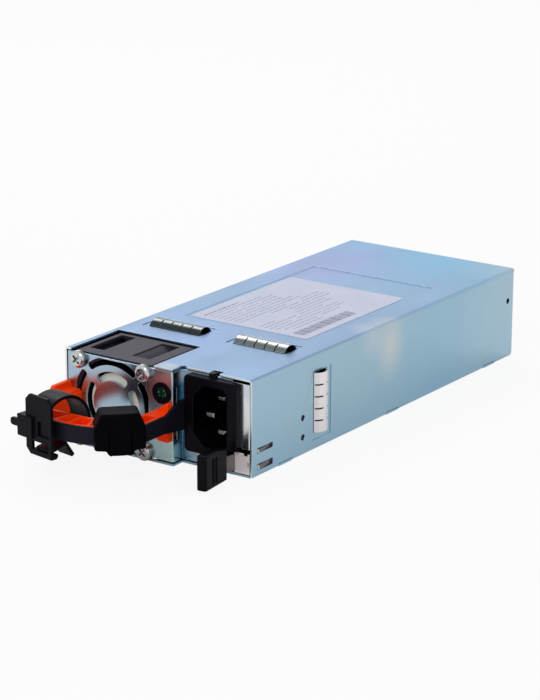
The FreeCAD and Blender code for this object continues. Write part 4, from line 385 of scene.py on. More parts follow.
@dataclass(frozen=True)
class PassivatedZinc(Finish):
    """Bright zinc under a thin clear passivate whose tint drifts slowly over the sheet.

    Attributes:
        level: tints of level faces from the inlet end to the rear; besides the passivate's drift they carry
            painted light.
        upright: tints of upright faces from the inlet end to the rear; besides the passivate's drift they
            carry painted light.
        side: painted shade: tint of faces turned to the right beyond side_from, or None to treat them as
            upright.
        side_from: place across the case where the side tint starts.
        inner: half width and height of the sheet's inner faces, which are painted dark as shade, or None.
        shade_footprints: nodes under whose footprint the sheet is painted dark, as painted shade.
        cut: tint of the sheared edges at the inlet end, the lighter bare edge with a painted highlight, or
            None.
        wall: painted shade: tint of faces turned to the inlet end, such as the low walls of pressed seats, or
            None.
        tints_and_highlights: patches of other colours, passivate tints and painted highlights and
            reflections.
        roughness: mean roughness.
        reach: where the tints start and end along the case.
    """

    level: tuple[Stop, ...]
    upright: tuple[Stop, ...]
    side: Optional[Colour] = None
    side_from: float = -1.0
    inner: Optional[tuple[float, float]] = None
    shade_footprints: tuple[str, ...] = ()
    cut: Optional[Colour] = None
    wall: Optional[Colour] = None
    tints_and_highlights: tuple[TintAndHighlightPatch, ...] = ()
    roughness: float = 0.3
    reach: tuple[float, float] = (-0.102, 0.102)

    def with_patch(self, shade: Shade, colour: Socket, ragged: Socket,
                soft_patch: TintAndHighlightPatch) -> Socket:
        """Lays one patch over a colour.

        Args:
            shade: the node tree.
            colour: colour so far.
            ragged: noise that makes the patch uneven.
            soft_patch: the patch; some are passivate tints, others painted light.

        Returns:
            The colour with the patch.
        """
        placed = shade.node("ShaderNodeMapping", vector_type="POINT")
        placed.inputs["Location"].default_value = tuple(-c / r for c, r in zip(soft_patch.centre, soft_patch.reach))
        placed.inputs["Scale"].default_value = tuple(1.0 / r for r in soft_patch.reach)
        shade.link(shade.places.outputs["Object"], placed.inputs["Vector"])
        length = shade.node("ShaderNodeVectorMath", operation="LENGTH")
        shade.link(placed.outputs["Vector"], length.inputs[0])
        uneven = shade.sum(length.outputs["Value"], shade.spread(ragged, -0.5, 0.5), RAGGED)
        return shade.mixed(shade.spread(uneven, soft_patch.share, 0.0, *PATCH_EDGE), colour, soft_patch.colour)

    def footprint_shade(self, shade: Shade, places: bpy.types.Node, node: str) -> Socket:
        """Marks the footprint of a node on the sheet.

        Args:
            shade: the node tree.
            places: the separated coordinates.
            node: the node under which the sheet is painted as shade.

        Returns:
            1 within the footprint and 0 outside it.
        """
        low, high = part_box(node)
        inside = None
        for axis, name in enumerate("XYZ"):
            middle = (low[axis] + high[axis]) / 2.0
            half = (high[axis] - low[axis]) / 2.0 + FOOTPRINT_MARGIN
            offset = shade.math("ABSOLUTE", shade.math("SUBTRACT", places.outputs[name], middle))
            near = shade.math("LESS_THAN", offset, half)
            inside = near if inside is None else shade.math("MULTIPLY", inside, near)
        return inside

    def build(self) -> bpy.types.Material:
        """Makes the plated sheet's material.

        Returns:
            The material.
        """
        shade = Shade(self.name)
        shade.fixed(Metallic=1.0)
        split = shade.node("ShaderNodeSeparateXYZ")
        shade.link(shade.places.outputs["Object"], split.inputs["Vector"])
        facing = shade.node("ShaderNodeSeparateXYZ")
        shade.link(shade.places.outputs["Normal"], facing.inputs["Vector"])
        clouds = shade.noise(CLOUDS, detail=2.0, rough=0.45)
        along = shade.spread(split.outputs["Y"], 0.0, 1.0, *self.reach)
        drifted = shade.sum(along, shade.spread(clouds, -0.5, 0.5), DRIFT)
        upright = shade.ramp(drifted, self.upright)
        # Painted shade: faces turned to the right beyond side_from take the darker side tint.
        if self.side:
            turned = shade.spread(facing.outputs["X"], 0.0, 1.0, *TURNED_RIGHT)
            beyond = shade.math("GREATER_THAN", split.outputs["X"], self.side_from)
            upright = shade.mixed(shade.math("MULTIPLY", turned, beyond), upright, self.side)
        # Painted light: level and upright faces of the one sheet take different tints.
        tops = shade.spread(facing.outputs["Z"], 0.0, 1.0, *TURNED_UP)
        colour = shade.mixed(tops, upright, shade.ramp(drifted, self.level))
        # Patches: passivate tints, and painted highlights and a painted reflection.
        for soft_patch in self.tints_and_highlights:
            colour = self.with_patch(shade, colour, clouds, soft_patch)
        # Painted shade on faces turned to the inlet end; near the inlet end these faces take the cut tint, a
        # lighter bare edge with a painted highlight.
        if self.cut and self.wall:
            edge = shade.spread(facing.outputs["Y"], 1.0, 0.0, *TURNED_NEAR)
            colour = shade.mixed(edge, colour, self.wall)
            near = shade.math("LESS_THAN", split.outputs["Y"], self.reach[0] + CUT_REACH)
            colour = shade.mixed(shade.math("MULTIPLY", edge, near), colour, self.cut)
        fine = shade.noise(ROLLED_GRAIN, detail=3.0, rough=0.6)
        colour = shade.mixed(shade.spread(fine, low=0.0, high=0.06, start=0.45, end=0.8), colour, WORN_ZINC)
        # Painted shade: the sheet's inner faces are painted dark.
        if self.inner:
            within = shade.math("LESS_THAN", shade.math("ABSOLUTE", split.outputs["X"]), self.inner[0])
            below = shade.math("LESS_THAN", split.outputs["Z"], self.inner[1])
            colour = shade.mixed(shade.math("MULTIPLY", within, below), colour, PAINTED_INSIDE_SHADE)
        # Painted shade under the contact rows.
        for node in self.shade_footprints:
            colour = shade.mixed(self.footprint_shade(shade, split, node), colour, PAINTED_SEAT_SHADE)
        shade.coloured(colour)
        smear = shade.noise(SMEARS, detail=4.0, rough=0.6)
        shade.roughened(smear, self.roughness - 0.04, self.roughness + 0.06)
        shade.bump(fine, GRAIN_DEPTH, strength=0.1)
        return shade.material


@dataclass(frozen=True)
class PlatedMetal(Finish):
    """Plain plated or bare metal with faint wear; faces turned to the inlet end take a tint of their own,
    painted light and shade.

    Attributes:
        colour: tint of the plating.
        worn: tint where it is worn.
        painted_near_tint: tint of faces turned to the inlet end, painted light and shade.
        roughness: mean roughness.
        metallic: share of metal in the surface; the rest is a dry, matt plating.
        turned: how far a face turns to the inlet end before it takes that painted tint.
        grain: features of the fine grain per metre.
    """

    colour: Colour
    worn: Colour
    painted_near_tint: Colour
    roughness: float = 0.2
    metallic: float = 1.0
    turned: float = 0.35
    grain: float = 900.0

    def build(self) -> bpy.types.Material:
        """Makes the plated metal's material.

        Returns:
            The material.
        """
        shade = Shade(self.name)
        shade.fixed(Metallic=self.metallic)
        cloud = shade.noise(WEAR, detail=3.0, rough=0.55)
        colour = shade.mixed(shade.spread(cloud, 0.0, 1.0, start=0.35, end=0.7), self.colour, self.worn)
        facing = shade.node("ShaderNodeSeparateXYZ")
        shade.link(shade.places.outputs["Normal"], facing.inputs["Vector"])
        # Painted light and shade: faces turned to the inlet end take their own tint, lighter on some looks
        # and darker on others.
        near = shade.spread(facing.outputs["Y"], 1.0, 0.0, -self.turned - TURNED_FADE, -self.turned)
        shade.coloured(shade.mixed(near, colour, self.painted_near_tint))
        fine = shade.noise((self.grain,) * 3, detail=2.0, rough=0.6)
        shade.roughened(fine, self.roughness * 0.8, self.roughness * 1.35)
        shade.bump(fine, GRAIN_DEPTH, strength=0.3)
        return shade.material


@dataclass(frozen=True)
class MouldedPlastic(Finish):
    """Injection moulded plastic with a fine spark eroded grain.

    Attributes:
        colour: its colour.
        pale: its colour where it is a little paler.
        roughness: mean roughness.
        gloss: strength of the gloss.
        grain: features of the grain per metre.
        depth: depth of the grain in metres.
        sheen: tint of the gloss.
    """

    colour: Colour
    pale: Colour
    roughness: float = 0.42
    gloss: float = 0.12
    grain: float = 2600.0
    depth: float = 0.00003
    sheen: Colour = (0.84, 0.80, 1.0)

    def build(self) -> bpy.types.Material:
        """Makes the plastic's material.

        Returns:
            The material.
        """
        shade = Shade(self.name)
        shade.fixed(IOR=1.5, Specular_IOR_Level=self.gloss, Specular_Tint=self.sheen)
        cloud = shade.noise(FLOW, detail=3.0, rough=0.5)
        paler = shade.spread(cloud, 0.0, 1.0, start=0.3, end=0.75)
        shade.coloured(shade.mixed(paler, self.colour, self.pale))
        grain = shade.noise((self.grain,) * 3, detail=2.0, rough=0.6)
        shade.roughened(grain, self.roughness - 0.04, self.roughness + 0.06)
        shade.bump(grain, self.depth, strength=0.35)
        return shade.material


@dataclass(frozen=True)
class ClearPlastic(Finish):
    """Clear or tinted glossy plastic, with optional painted glints: bright specks standing in for highlights.

    Attributes:
        colour: its tint.
        through: share of the light that passes through.
        roughness: lowest roughness.
        painted_glints: tint of bright specks painted in as highlights, or None.
    """

    colour: Colour
    through: float = 0.5
    roughness: float = 0.08
    painted_glints: Optional[Colour] = None

    def build(self) -> bpy.types.Material:
        """Makes the clear plastic's material.

        Returns:
            The material.
        """
        shade = Shade(self.name)
        shade.fixed(IOR=1.49, Transmission_Weight=self.through,
                    Specular_IOR_Level=CLEAR_GLOSS + CLEAR_GLOSS_GAIN * self.through)
        cloud = shade.noise(HAZE, detail=2.0, rough=0.5)
        deep = tuple(part * DEEP_SHARE for part in self.colour)
        colour = shade.mixed(cloud, self.colour, deep)
        # Painted highlights: bright specks mixed into the colour.
        if self.painted_glints:
            glint_noise = shade.noise(GLINT_SCALE, detail=1.0, rough=0.4)
            bright = shade.spread(glint_noise, low=0.0, high=0.6, start=0.60, end=0.70)
            colour = shade.mixed(bright, colour, self.painted_glints)
        shade.coloured(colour)
        shade.roughened(cloud, self.roughness, self.roughness * 2.0, 0.0, 1.0)
        return shade.material


@dataclass(frozen=True)
class Laminate(Finish):
    """Circuit board with solder mask over faint copper areas.

    Attributes:
        mask: colour of the solder mask.
        copper: its colour over copper.
        pitch: copper areas per metre.
    """

    mask: Colour
    copper: Colour
    pitch: float = 320.0

    def build(self) -> bpy.types.Material:
        """Makes the board's material.

        Returns:
            The material.
        """
        shade = Shade(self.name)
        shade.fixed(Coat_Weight=0.3, Coat_Roughness=0.2)
        cells = shade.node("ShaderNodeTexVoronoi", distance="MANHATTAN")
        cells.inputs["Scale"].default_value = self.pitch
        shade.link(shade.places.outputs["Object"], cells.inputs["Vector"])
        areas = shade.spread(cells.outputs["Distance"], 0.0, 1.0, start=0.35, end=0.45)
        shade.coloured(shade.mixed(areas, self.mask, self.copper))
        shade.roughened(areas, low=0.38, high=0.5, start=0.0, end=1.0)
        shade.bump(areas, BOARD_RELIEF, strength=0.4)
        return shade.material


@dataclass(frozen=True)
class BandedWire(Finish):
    """Turns of enamelled wire or wrapped tape, banded along one axis.

    Attributes:
        colour: colour of a turn.
        gap: colour between turns.
        axis: axis that the bands follow.
        pitch: distance between turns in metres.
        metallic: share of metal in the surface.
        roughness: roughness on top of a turn.
    """

    colour: Colour
    gap: Colour
    axis: str = "X"
    pitch: float = 0.0009
    metallic: float = 0.6
    roughness: float = 0.3

    def build(self) -> bpy.types.Material:
        """Makes the banded material.

        Returns:
            The material.
        """
        shade = Shade(self.name)
        shade.fixed(Metallic=self.metallic)
        wave = shade.node("ShaderNodeTexWave", wave_type="BANDS", bands_direction=self.axis)
        wave.inputs["Scale"].default_value = 1.0 / self.pitch / WAVE_RATE * math.pi
        wave.inputs["Distortion"].default_value = 0.6
        wave.inputs["Detail"].default_value = 1.0
        shade.link(shade.places.outputs["Object"], wave.inputs["Vector"])
        bands = wave.outputs["Fac"]
        shade.coloured(shade.mixed(bands, self.gap, self.colour))
        shade.roughened(bands, self.roughness * 1.5, self.roughness, start=0.0, end=1.0)
        shade.bump(bands, self.pitch * 0.4, strength=0.6)
        return shade.material


class Look(Enum):
    """Every finish on the power supply."""

    COVER = PassivatedZinc(
        "cover_zinc", "zinc_sheet",
        # Level and upright tints differ as painted light.
        level=((0.0, tint(144, 177, 211, SKY)), (0.35, tint(150, 180, 217, SKY)),
               (0.7, tint(158, 196, 232, SKY)), (1.0, tint(147, 205, 242, SKY))),
        upright=((0.0, tint(140, 168, 184, GROUND)), (0.4, tint(139, 167, 182, GROUND)),
                 (0.7, tint(134, 166, 184, GROUND)), (1.0, tint(146, 171, 185, GROUND))),
        # Cut tint: lighter bare edge with a painted highlight; wall tint: painted shade.
        cut=tint(200, 220, 216, GROUND), wall=tint(108, 122, 140, GROUND),
        # Painted shade on the sheet's inner faces.
        inner=(0.04215, 0.03845),
        # Painted shade under the contact rows.
        shade_footprints=("contact_spring_top_left", "contact_spring_top_right", "contact_spring_side"),
        tints_and_highlights=(TintAndHighlightPatch((-0.026, 0.066, 0.039), (0.036, 0.050, 0.02), tint(174, 186, 236, SKY)),
                TintAndHighlightPatch((-0.006, -0.070, 0.039), (0.028, 0.030, 0.02), tint(153, 177, 224, SKY), 0.5),
                TintAndHighlightPatch((0.044, 0.104, 0.039), (0.034, 0.026, 0.02), tint(202, 216, 226, SKY)),
                TintAndHighlightPatch((0.012, 0.096, 0.039), (0.046, 0.030, 0.02), tint(145, 208, 246, SKY), 0.6),
                # Painted highlight along the lip of the cover's front edge.
                TintAndHighlightPatch((0.006, -0.0985, 0.039), (0.007, 0.004, 0.004), tint(200, 206, 210, SKY), 0.7),
                TintAndHighlightPatch((0.043, 0.001, 0.029), (0.012, 0.011, 0.016), tint(176, 180, 180, GROUND), 0.75),
                TintAndHighlightPatch((0.043, -0.012, 0.036), (0.012, 0.010, 0.010), tint(168, 176, 184, GROUND), 0.6)),
        roughness=0.32)
    FRONT = PassivatedZinc(
        "front_zinc", "front_zinc",
        level=((0.0, tint(160, 187, 211, SKY)), (1.0, tint(158, 186, 215, SKY))),
        upright=((0.0, tint(136, 160, 176, GROUND)), (0.5, tint(146, 166, 180, GROUND)),
                 (1.0, tint(138, 168, 188, GROUND))),
        # Painted shade on the step wall turned to the right.
        side=tint(36, 80, 102, GROUND), side_from=0.002,
        # Painted highlights: a bright streak right of the inlet and the lit top edge.
        tints_and_highlights=(TintAndHighlightPatch((0.0405, -0.096, 0.022), (0.0062, 0.02, 0.024), tint(204, 226, 246, GROUND), 0.9),
                TintAndHighlightPatch((0.0392, -0.096, 0.024), (0.0024, 0.02, 0.020), tint(238, 236, 240, GROUND), 0.9),
                TintAndHighlightPatch((0.006, -0.102, 0.036), (0.008, 0.02, 0.005), tint(214, 204, 208, GROUND), 0.7),
                # Painted reflection: light teal low on the front sheet.
                TintAndHighlightPatch((0.008, -0.102, 0.004), (0.014, 0.005, 0.012), tint(172, 230, 252, GROUND), 0.95)),
        roughness=0.21, reach=(-0.108, -0.09))
    TRAY = PassivatedZinc(
        "tray_zinc", "zinc_sheet",
        level=((0.0, tint(160, 187, 211, SKY)), (1.0, tint(158, 186, 215, SKY))),
        upright=((0.0, tint(136, 166, 182, GROUND)), (1.0, tint(142, 170, 184, GROUND))))
    # Latch: its face is painted light and the rest painted dark, as light and shade.
    NICKEL = PlatedMetal(
        "latch_nickel", "nickel", (0.20, 0.17, 0.18), (0.14, 0.12, 0.13), (0.97, 0.91, 0.88), 0.42, 0.4)
    # The contact rows are lit and shaded copies of one nickel: painted shade on the left row and its near
    # flanks, painted light on the side row.
    LEFT_NICKEL = PlatedMetal(
        "left_nickel", "nickel", (0.32, 0.33, 0.34), (0.14, 0.16, 0.16), (0.040, 0.054, 0.058), 0.22,
        turned=0.1)
    RIGHT_NICKEL = PlatedMetal(
        "right_nickel", "nickel", (0.46, 0.46, 0.47), (0.32, 0.34, 0.34), (0.19, 0.22, 0.225), 0.24,
        turned=0.2)
    SIDE_NICKEL = PlatedMetal(
        "side_nickel", "nickel", (0.98, 0.93, 0.95), (0.90, 0.86, 0.88), (0.84, 0.80, 0.82), 0.34, 0.7)
    # Pins coloured dark grey, as painted shade of the inlet's cavity.
    PIN_NICKEL = PlatedMetal(
        "pin_nickel", "nickel", (0.20, 0.20, 0.21), (0.10, 0.10, 0.11), (0.24, 0.24, 0.25), 0.22)
    # Rivet ends painted near black, as painted shade of their holes.
    RIVET = PlatedMetal(
        "rivet_steel", "screw_steel", (0.06, 0.05, 0.06), (0.04, 0.035, 0.04), (0.05, 0.05, 0.05), 0.4)
    # Screw sides painted darker and faces turned to the inlet end lighter, as painted light and shade.
    SCREW = PlatedMetal(
        "screw_plate", "screw_steel", (0.30, 0.31, 0.33), (0.20, 0.21, 0.23), (0.68, 0.69, 0.70), 0.2,
        turned=0.2)
    ALUMINIUM = PlatedMetal(
        "heat_sink_aluminium", "heat_sink", (0.72, 0.73, 0.74), (0.62, 0.63, 0.65), (0.6, 0.6, 0.62), 0.32)
    BRASS = PlatedMetal(
        "pillar_brass", "brass", (0.76, 0.58, 0.28), (0.66, 0.48, 0.22), (0.6, 0.44, 0.2), 0.26)
    GOLD = PlatedMetal("pad_gold", "gold", (0.90, 0.68, 0.30), (0.82, 0.58, 0.22), (0.8, 0.56, 0.22), 0.18)
    ORANGE = MouldedPlastic(
        "orange_plastic", "orange_plastic", (1.0, 0.050, 0.0), (1.0, 0.066, 0.001), 0.4, 0.12, 1800.0,
        0.00002, (1.0, 0.9, 0.8))
    BLACK = MouldedPlastic(
        "black_plastic", "black_plastic", (0.0016, 0.0013, 0.0028), (0.0030, 0.0025, 0.0048), 0.34, 0.10)
    STRAP = MouldedPlastic(
        "strap_plastic", "black_plastic", (0.0066, 0.0056, 0.0104), (0.0104, 0.0092, 0.0160), 0.44, 0.14)
    HOOD = MouldedPlastic(
        "hood_rubber", "black_plastic", (0.0004, 0.0004, 0.0008), (0.0010, 0.0010, 0.0018), 0.46, 0.04)
    INLET = MouldedPlastic(
        "inlet_plastic", "black_plastic", (0.0016, 0.0016, 0.0030), (0.0032, 0.0032, 0.0052), 0.30, 0.10)
    FAN = MouldedPlastic(
        "fan_plastic", "fan_plastic", (0.021, 0.019, 0.034), (0.028, 0.026, 0.044), 0.40, 0.26)
    ROTOR = MouldedPlastic(
        "rotor_plastic", "rotor_plastic", (0.003, 0.003, 0.004), (0.006, 0.006, 0.008), 0.36, 0.1)
    DISC = MouldedPlastic(
        "hub_disc", "hub_disc", (0.95, 0.93, 0.84), (0.97, 0.95, 0.88), 0.5, 0.2, 900.0, 0.00001)
    FILM = MouldedPlastic(
        "plate_film", "plate_film", tint(197, 202, 222), tint(203, 208, 227), 0.4, 0.2, 500.0, 0.00001)
    FIELD = MouldedPlastic(
        "plate_ruling", "plate_film", tint(106, 110, 130), tint(126, 130, 150), 0.4, 0.2, 500.0, 0.00001)
    INSULATOR = MouldedPlastic("insulating_film", "insulator", (0.05, 0.05, 0.06), (0.08, 0.08, 0.09), 0.55)
    LENS = ClearPlastic("lamp_lens", "lens", (0.0, 0.030, 0.013), 0.0, 0.12, (0.12, 0.48, 0.30))
    PIPE = ClearPlastic("light_pipe", "clear_plastic", (0.85, 0.9, 0.9), 0.85)
    BOARD = Laminate("circuit_board", "pcb", (0.012, 0.10, 0.035), (0.03, 0.20, 0.07))
    COIL = BandedWire("copper_wire", "copper_winding", (0.62, 0.24, 0.08), (0.16, 0.05, 0.02))
    TAPE = BandedWire("yellow_tape", "tape", (0.80, 0.55, 0.05), (0.62, 0.40, 0.03), "Z", 0.006, 0.0, 0.4)
    SLEEVE = MouldedPlastic("can_sleeve", "can_sleeve", (0.02, 0.02, 0.05), (0.03, 0.03, 0.07), 0.25, 0.4)
    FERRITE = MouldedPlastic(
        "ferrite", "ferrite", (0.05, 0.05, 0.055), (0.075, 0.075, 0.08), 0.6, 0.3, 1200.0)
    BOX = MouldedPlastic("capacitor_box", "capacitor_box", (0.60, 0.44, 0.05), (0.66, 0.5, 0.08), 0.4, 0.4)


# ---------------------------------------------------------------- modelling helpers
def alone(piece: Piece) -> None:
    """Selects one object and nothing else.

    Args:
        piece: the object.
    """
    bpy.ops.object.select_all(action="DESELECT")
    piece.select_set(True)
    bpy.context.view_layer.objects.active = piece


def apply_modifier(piece: Piece, kind: str, **settings: object) -> None:
    """Adds a modifier and applies it.

    Args:
        piece: object to change.
        kind: modifier type.
        **settings: the modifier's properties.
    """
    alone(piece)
    made = piece.modifiers.new(kind.title(), kind)
    for key, value in settings.items():
        setattr(made, key, value)
    bpy.ops.object.modifier_apply(modifier=made.name)


def smoothed(piece: Piece, degrees: float = 32.0) -> None:
    """Smooth shading that keeps edges sharper than an angle."""
    alone(piece)
    bpy.ops.object.shade_smooth_by_angle(angle=math.radians(degrees))


def settled(piece: Piece) -> None:
    """Applies place, turn and scale, so that the object sits at the origin."""
    alone(piece)
    bpy.ops.object.transform_apply(location=True, rotation=True, scale=True)


def dressed_in(piece: Piece, look: Look) -> None:
    """Gives a piece one material all over.

    Args:
        piece: the piece.
        look: its finish.
    """
    piece.data.materials.clear()
    piece.data.materials.append(look.value.material())


@dataclass(frozen=True)
class EdgeBreak:
    """How the edges of a piece are broken.

    Attributes:
        width: width of the bevel.
        segments: steps across it.
        angle: least angle between faces, in degrees, at which an edge is broken.
    """

    width: float
    segments: int = 2
    angle: float = 35.0


def drawn_back(piece: Piece, source: Piece, width: float) -> None:
    """Lays vertices that a bevel threw clear of the part's surface back onto it.

    Args:
        piece: the bevelled copy.
        source: the CAD node that it was copied from.
        width: width of the bevel.
    """
    low, high = source.bound_box[0], source.bound_box[6]
    strays = []
    for vertex in piece.data.vertices:
        place, normal = source.closest_point_on_mesh(vertex.co)[1:3]
        offset = vertex.co - place
        boxed = all(low[axis] - STRAY_PAST_BOX < vertex.co[axis] < high[axis] + STRAY_PAST_BOX
                    for axis in range(3))
        if not boxed or offset.length > STRAY_OFFSET * width or offset.dot(normal) > STRAY_OUTWARD * width:
            strays.append(vertex.index)
    if strays:
        group = piece.vertex_groups.new(name="strays")
        group.add(strays, 1.0, "REPLACE")
        apply_modifier(piece, "SHRINKWRAP", target=source, vertex_group=group.name)
        piece.vertex_groups.clear()


def refined(node: str, look: Look, edge: Optional[EdgeBreak], body: Body = Body.CASE) -> Piece:
    """Finished copy of a CAD node, with welded faces and broken edges.

    Args:
        node: CAD node that the copy stands for.
        look: its finish.
        edge: how its edges are broken, or None to leave them.
        body: the body that it rides on.

    Returns:
        The new piece.
    """
    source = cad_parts[node]
    piece = bpy.data.objects.new(node + "_finished", source.data.copy())
    bpy.context.scene.collection.objects.link(piece)
    alone(piece)
    if piece.data.has_custom_normals:
        bpy.ops.mesh.customdata_custom_splitnormals_clear()
    bpy.ops.object.mode_set(mode="EDIT")
    bpy.ops.mesh.select_all(action="SELECT")
    bpy.ops.mesh.remove_doubles(threshold=WELD)
    bpy.ops.object.mode_set(mode="OBJECT")
    smoothed(piece)
    if edge:
        apply_modifier(piece, "BEVEL", width=edge.width, segments=edge.segments, limit_method="ANGLE",
                       angle_limit=math.radians(edge.angle), use_clamp_overlap=False, loop_slide=False,
                       miter_outer="MITER_ARC")
        drawn_back(piece, source, edge.width)
        smoothed(piece)
    apply_modifier(piece, "WEIGHTED_NORMAL", keep_sharp=True, weight=NORMAL_WEIGHT)
    dressed_in(piece, look)
    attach(piece, body.value)
    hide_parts(node)
    return piece


def cad_material(node: str, look: Look) -> None:
    """Gives a CAD node, kept as it is, its finish."""
    dressed_in(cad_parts[node], look)


# ---------------------------------------------------------------- sub-assemblies
@dataclass
class Case:
    """Folded cover, floor, stepped front sheet and rear wall.

    Attributes:
        fold: edges of the folded sheets.
        punched: edges of the rear wall.
    """

    fold: EdgeBreak = EdgeBreak(0.16 * MM)
    punched: EdgeBreak = EdgeBreak(0.1 * MM, 1)

    def build(self) -> list[Piece]:
        """Dresses the sheet metal.

        Returns:
            The finished pieces.
        """
        return [refined("top_cover", Look.COVER, self.fold),
                refined("base_tray", Look.TRAY, self.fold),
                refined("front_panel", Look.FRONT, self.fold),
                refined("rear_panel", Look.FRONT, self.punched)]


@dataclass
class Fan:
    """Fan housing, its turning hub and the four screws.

    Attributes:
        housing: edges of the housing.
        rotor: edges of the hub and blades.
        screw: edges of the screws.
    """

    housing: EdgeBreak = EdgeBreak(0.25 * MM)
    rotor: EdgeBreak = EdgeBreak(0.2 * MM)
    screw: EdgeBreak = EdgeBreak(0.12 * MM)

    def build(self) -> list[Piece]:
        """Dresses the fan.

        Returns:
            The finished pieces.
        """
        return [refined("fan_frame", Look.FAN, self.housing),
                refined("fan_rotor", Look.ROTOR, self.rotor, Body.ROTOR),
                refined("fan_hub_label", Look.DISC, None, Body.ROTOR),
                refined("fan_screws", Look.SCREW, self.screw)]


@dataclass
class Inlet:
    """Mains inlet with its pins.

    Attributes:
        shell: edges of the housing.
        pin: edges of the pins.
    """

    shell: EdgeBreak = EdgeBreak(0.35 * MM, 3)
    pin: EdgeBreak = EdgeBreak(0.12 * MM)

    def build(self) -> list[Piece]:
        """Dresses the inlet.

        Returns:
            The finished pieces.
        """
        pins = [refined(node, Look.PIN_NICKEL, self.pin)
                for node in ("line_pin", "neutral_pin", "earth_pin")]
        return [refined("inlet_housing", Look.INLET, self.shell)] + pins


@dataclass
class Lamp:
    """Status lamp in its bushing, with the light pipe and its board.

    Attributes:
        bushing: edges of the bushing.
    """

    bushing: EdgeBreak = EdgeBreak(0.12 * MM)

    def build(self) -> list[Piece]:
        """Dresses the lamp.

        Returns:
            The finished pieces.
        """
        return [refined("lamp_bezel", Look.BLACK, self.bushing),
                refined("lamp_lens", Look.LENS, None),
                refined("light_pipe", Look.PIPE, None),
                refined("led_board", Look.BOARD, None)]


@dataclass
class Handle:
    """Orange bow, cord strap, hood and cord clip.

    Attributes:
        bow: edges of the bow.
        strap: edges of the strap.
        hood: edges of the soft hood.
        clip: edges of the clip.
        pawl: edges of the pawl.
    """

    bow: EdgeBreak = EdgeBreak(0.3 * MM, 3)
    strap: EdgeBreak = EdgeBreak(0.2 * MM)
    hood: EdgeBreak = EdgeBreak(0.6 * MM, 4)
    clip: EdgeBreak = EdgeBreak(0.22 * MM)
    pawl: EdgeBreak = EdgeBreak(0.3 * MM, 3)

    def build(self) -> list[Piece]:
        """Dresses the handle and what is on it.

        Returns:
            The finished pieces.
        """
        return [refined("handle", Look.ORANGE, self.bow),
                refined("cord_strap", Look.STRAP, self.strap),
                refined("strap_hood", Look.HOOD, self.hood),
                refined("cord_clip", Look.BLACK, self.clip, Body.CLIP),
                refined("clip_pawl", Look.BLACK, self.pawl, Body.PAWL)]


@dataclass
class Latch:
    """Sprung latch strip, its riveted end and the finger lever.

    Attributes:
        strip: edges of the strip.
        fixed: edges of the riveted end and the rivets.
        lever: edges of the lever.
    """

    strip: EdgeBreak = EdgeBreak(0.1 * MM)
    fixed: EdgeBreak = EdgeBreak(0.1 * MM, 1)
    lever: EdgeBreak = EdgeBreak(0.45 * MM, 3)

    def build(self) -> list[Piece]:
        """Dresses the latch.

        Returns:
            The finished pieces.
        """
        return [refined("latch_spring", Look.NICKEL, self.strip, Body.LATCH),
                refined("latch_root", Look.NICKEL, self.fixed),
                refined("latch_rivets", Look.RIVET, self.fixed),
                refined("release_lever", Look.BLACK, self.lever, Body.LATCH)]


@dataclass
class Contacts:
    """Three rows of contact fingers.

    Attributes:
        finger: edges of the fingers.
    """

    finger: EdgeBreak = EdgeBreak(0.06 * MM, 1)

    def build(self) -> list[Piece]:
        """Dresses the rows.

        Returns:
            The finished pieces.
        """
        rows = {"contact_spring_top_left": Look.LEFT_NICKEL, "contact_spring_top_right": Look.RIGHT_NICKEL,
                "contact_spring_side": Look.SIDE_NICKEL}
        return [refined(node, look, self.finger) for node, look in rows.items()]


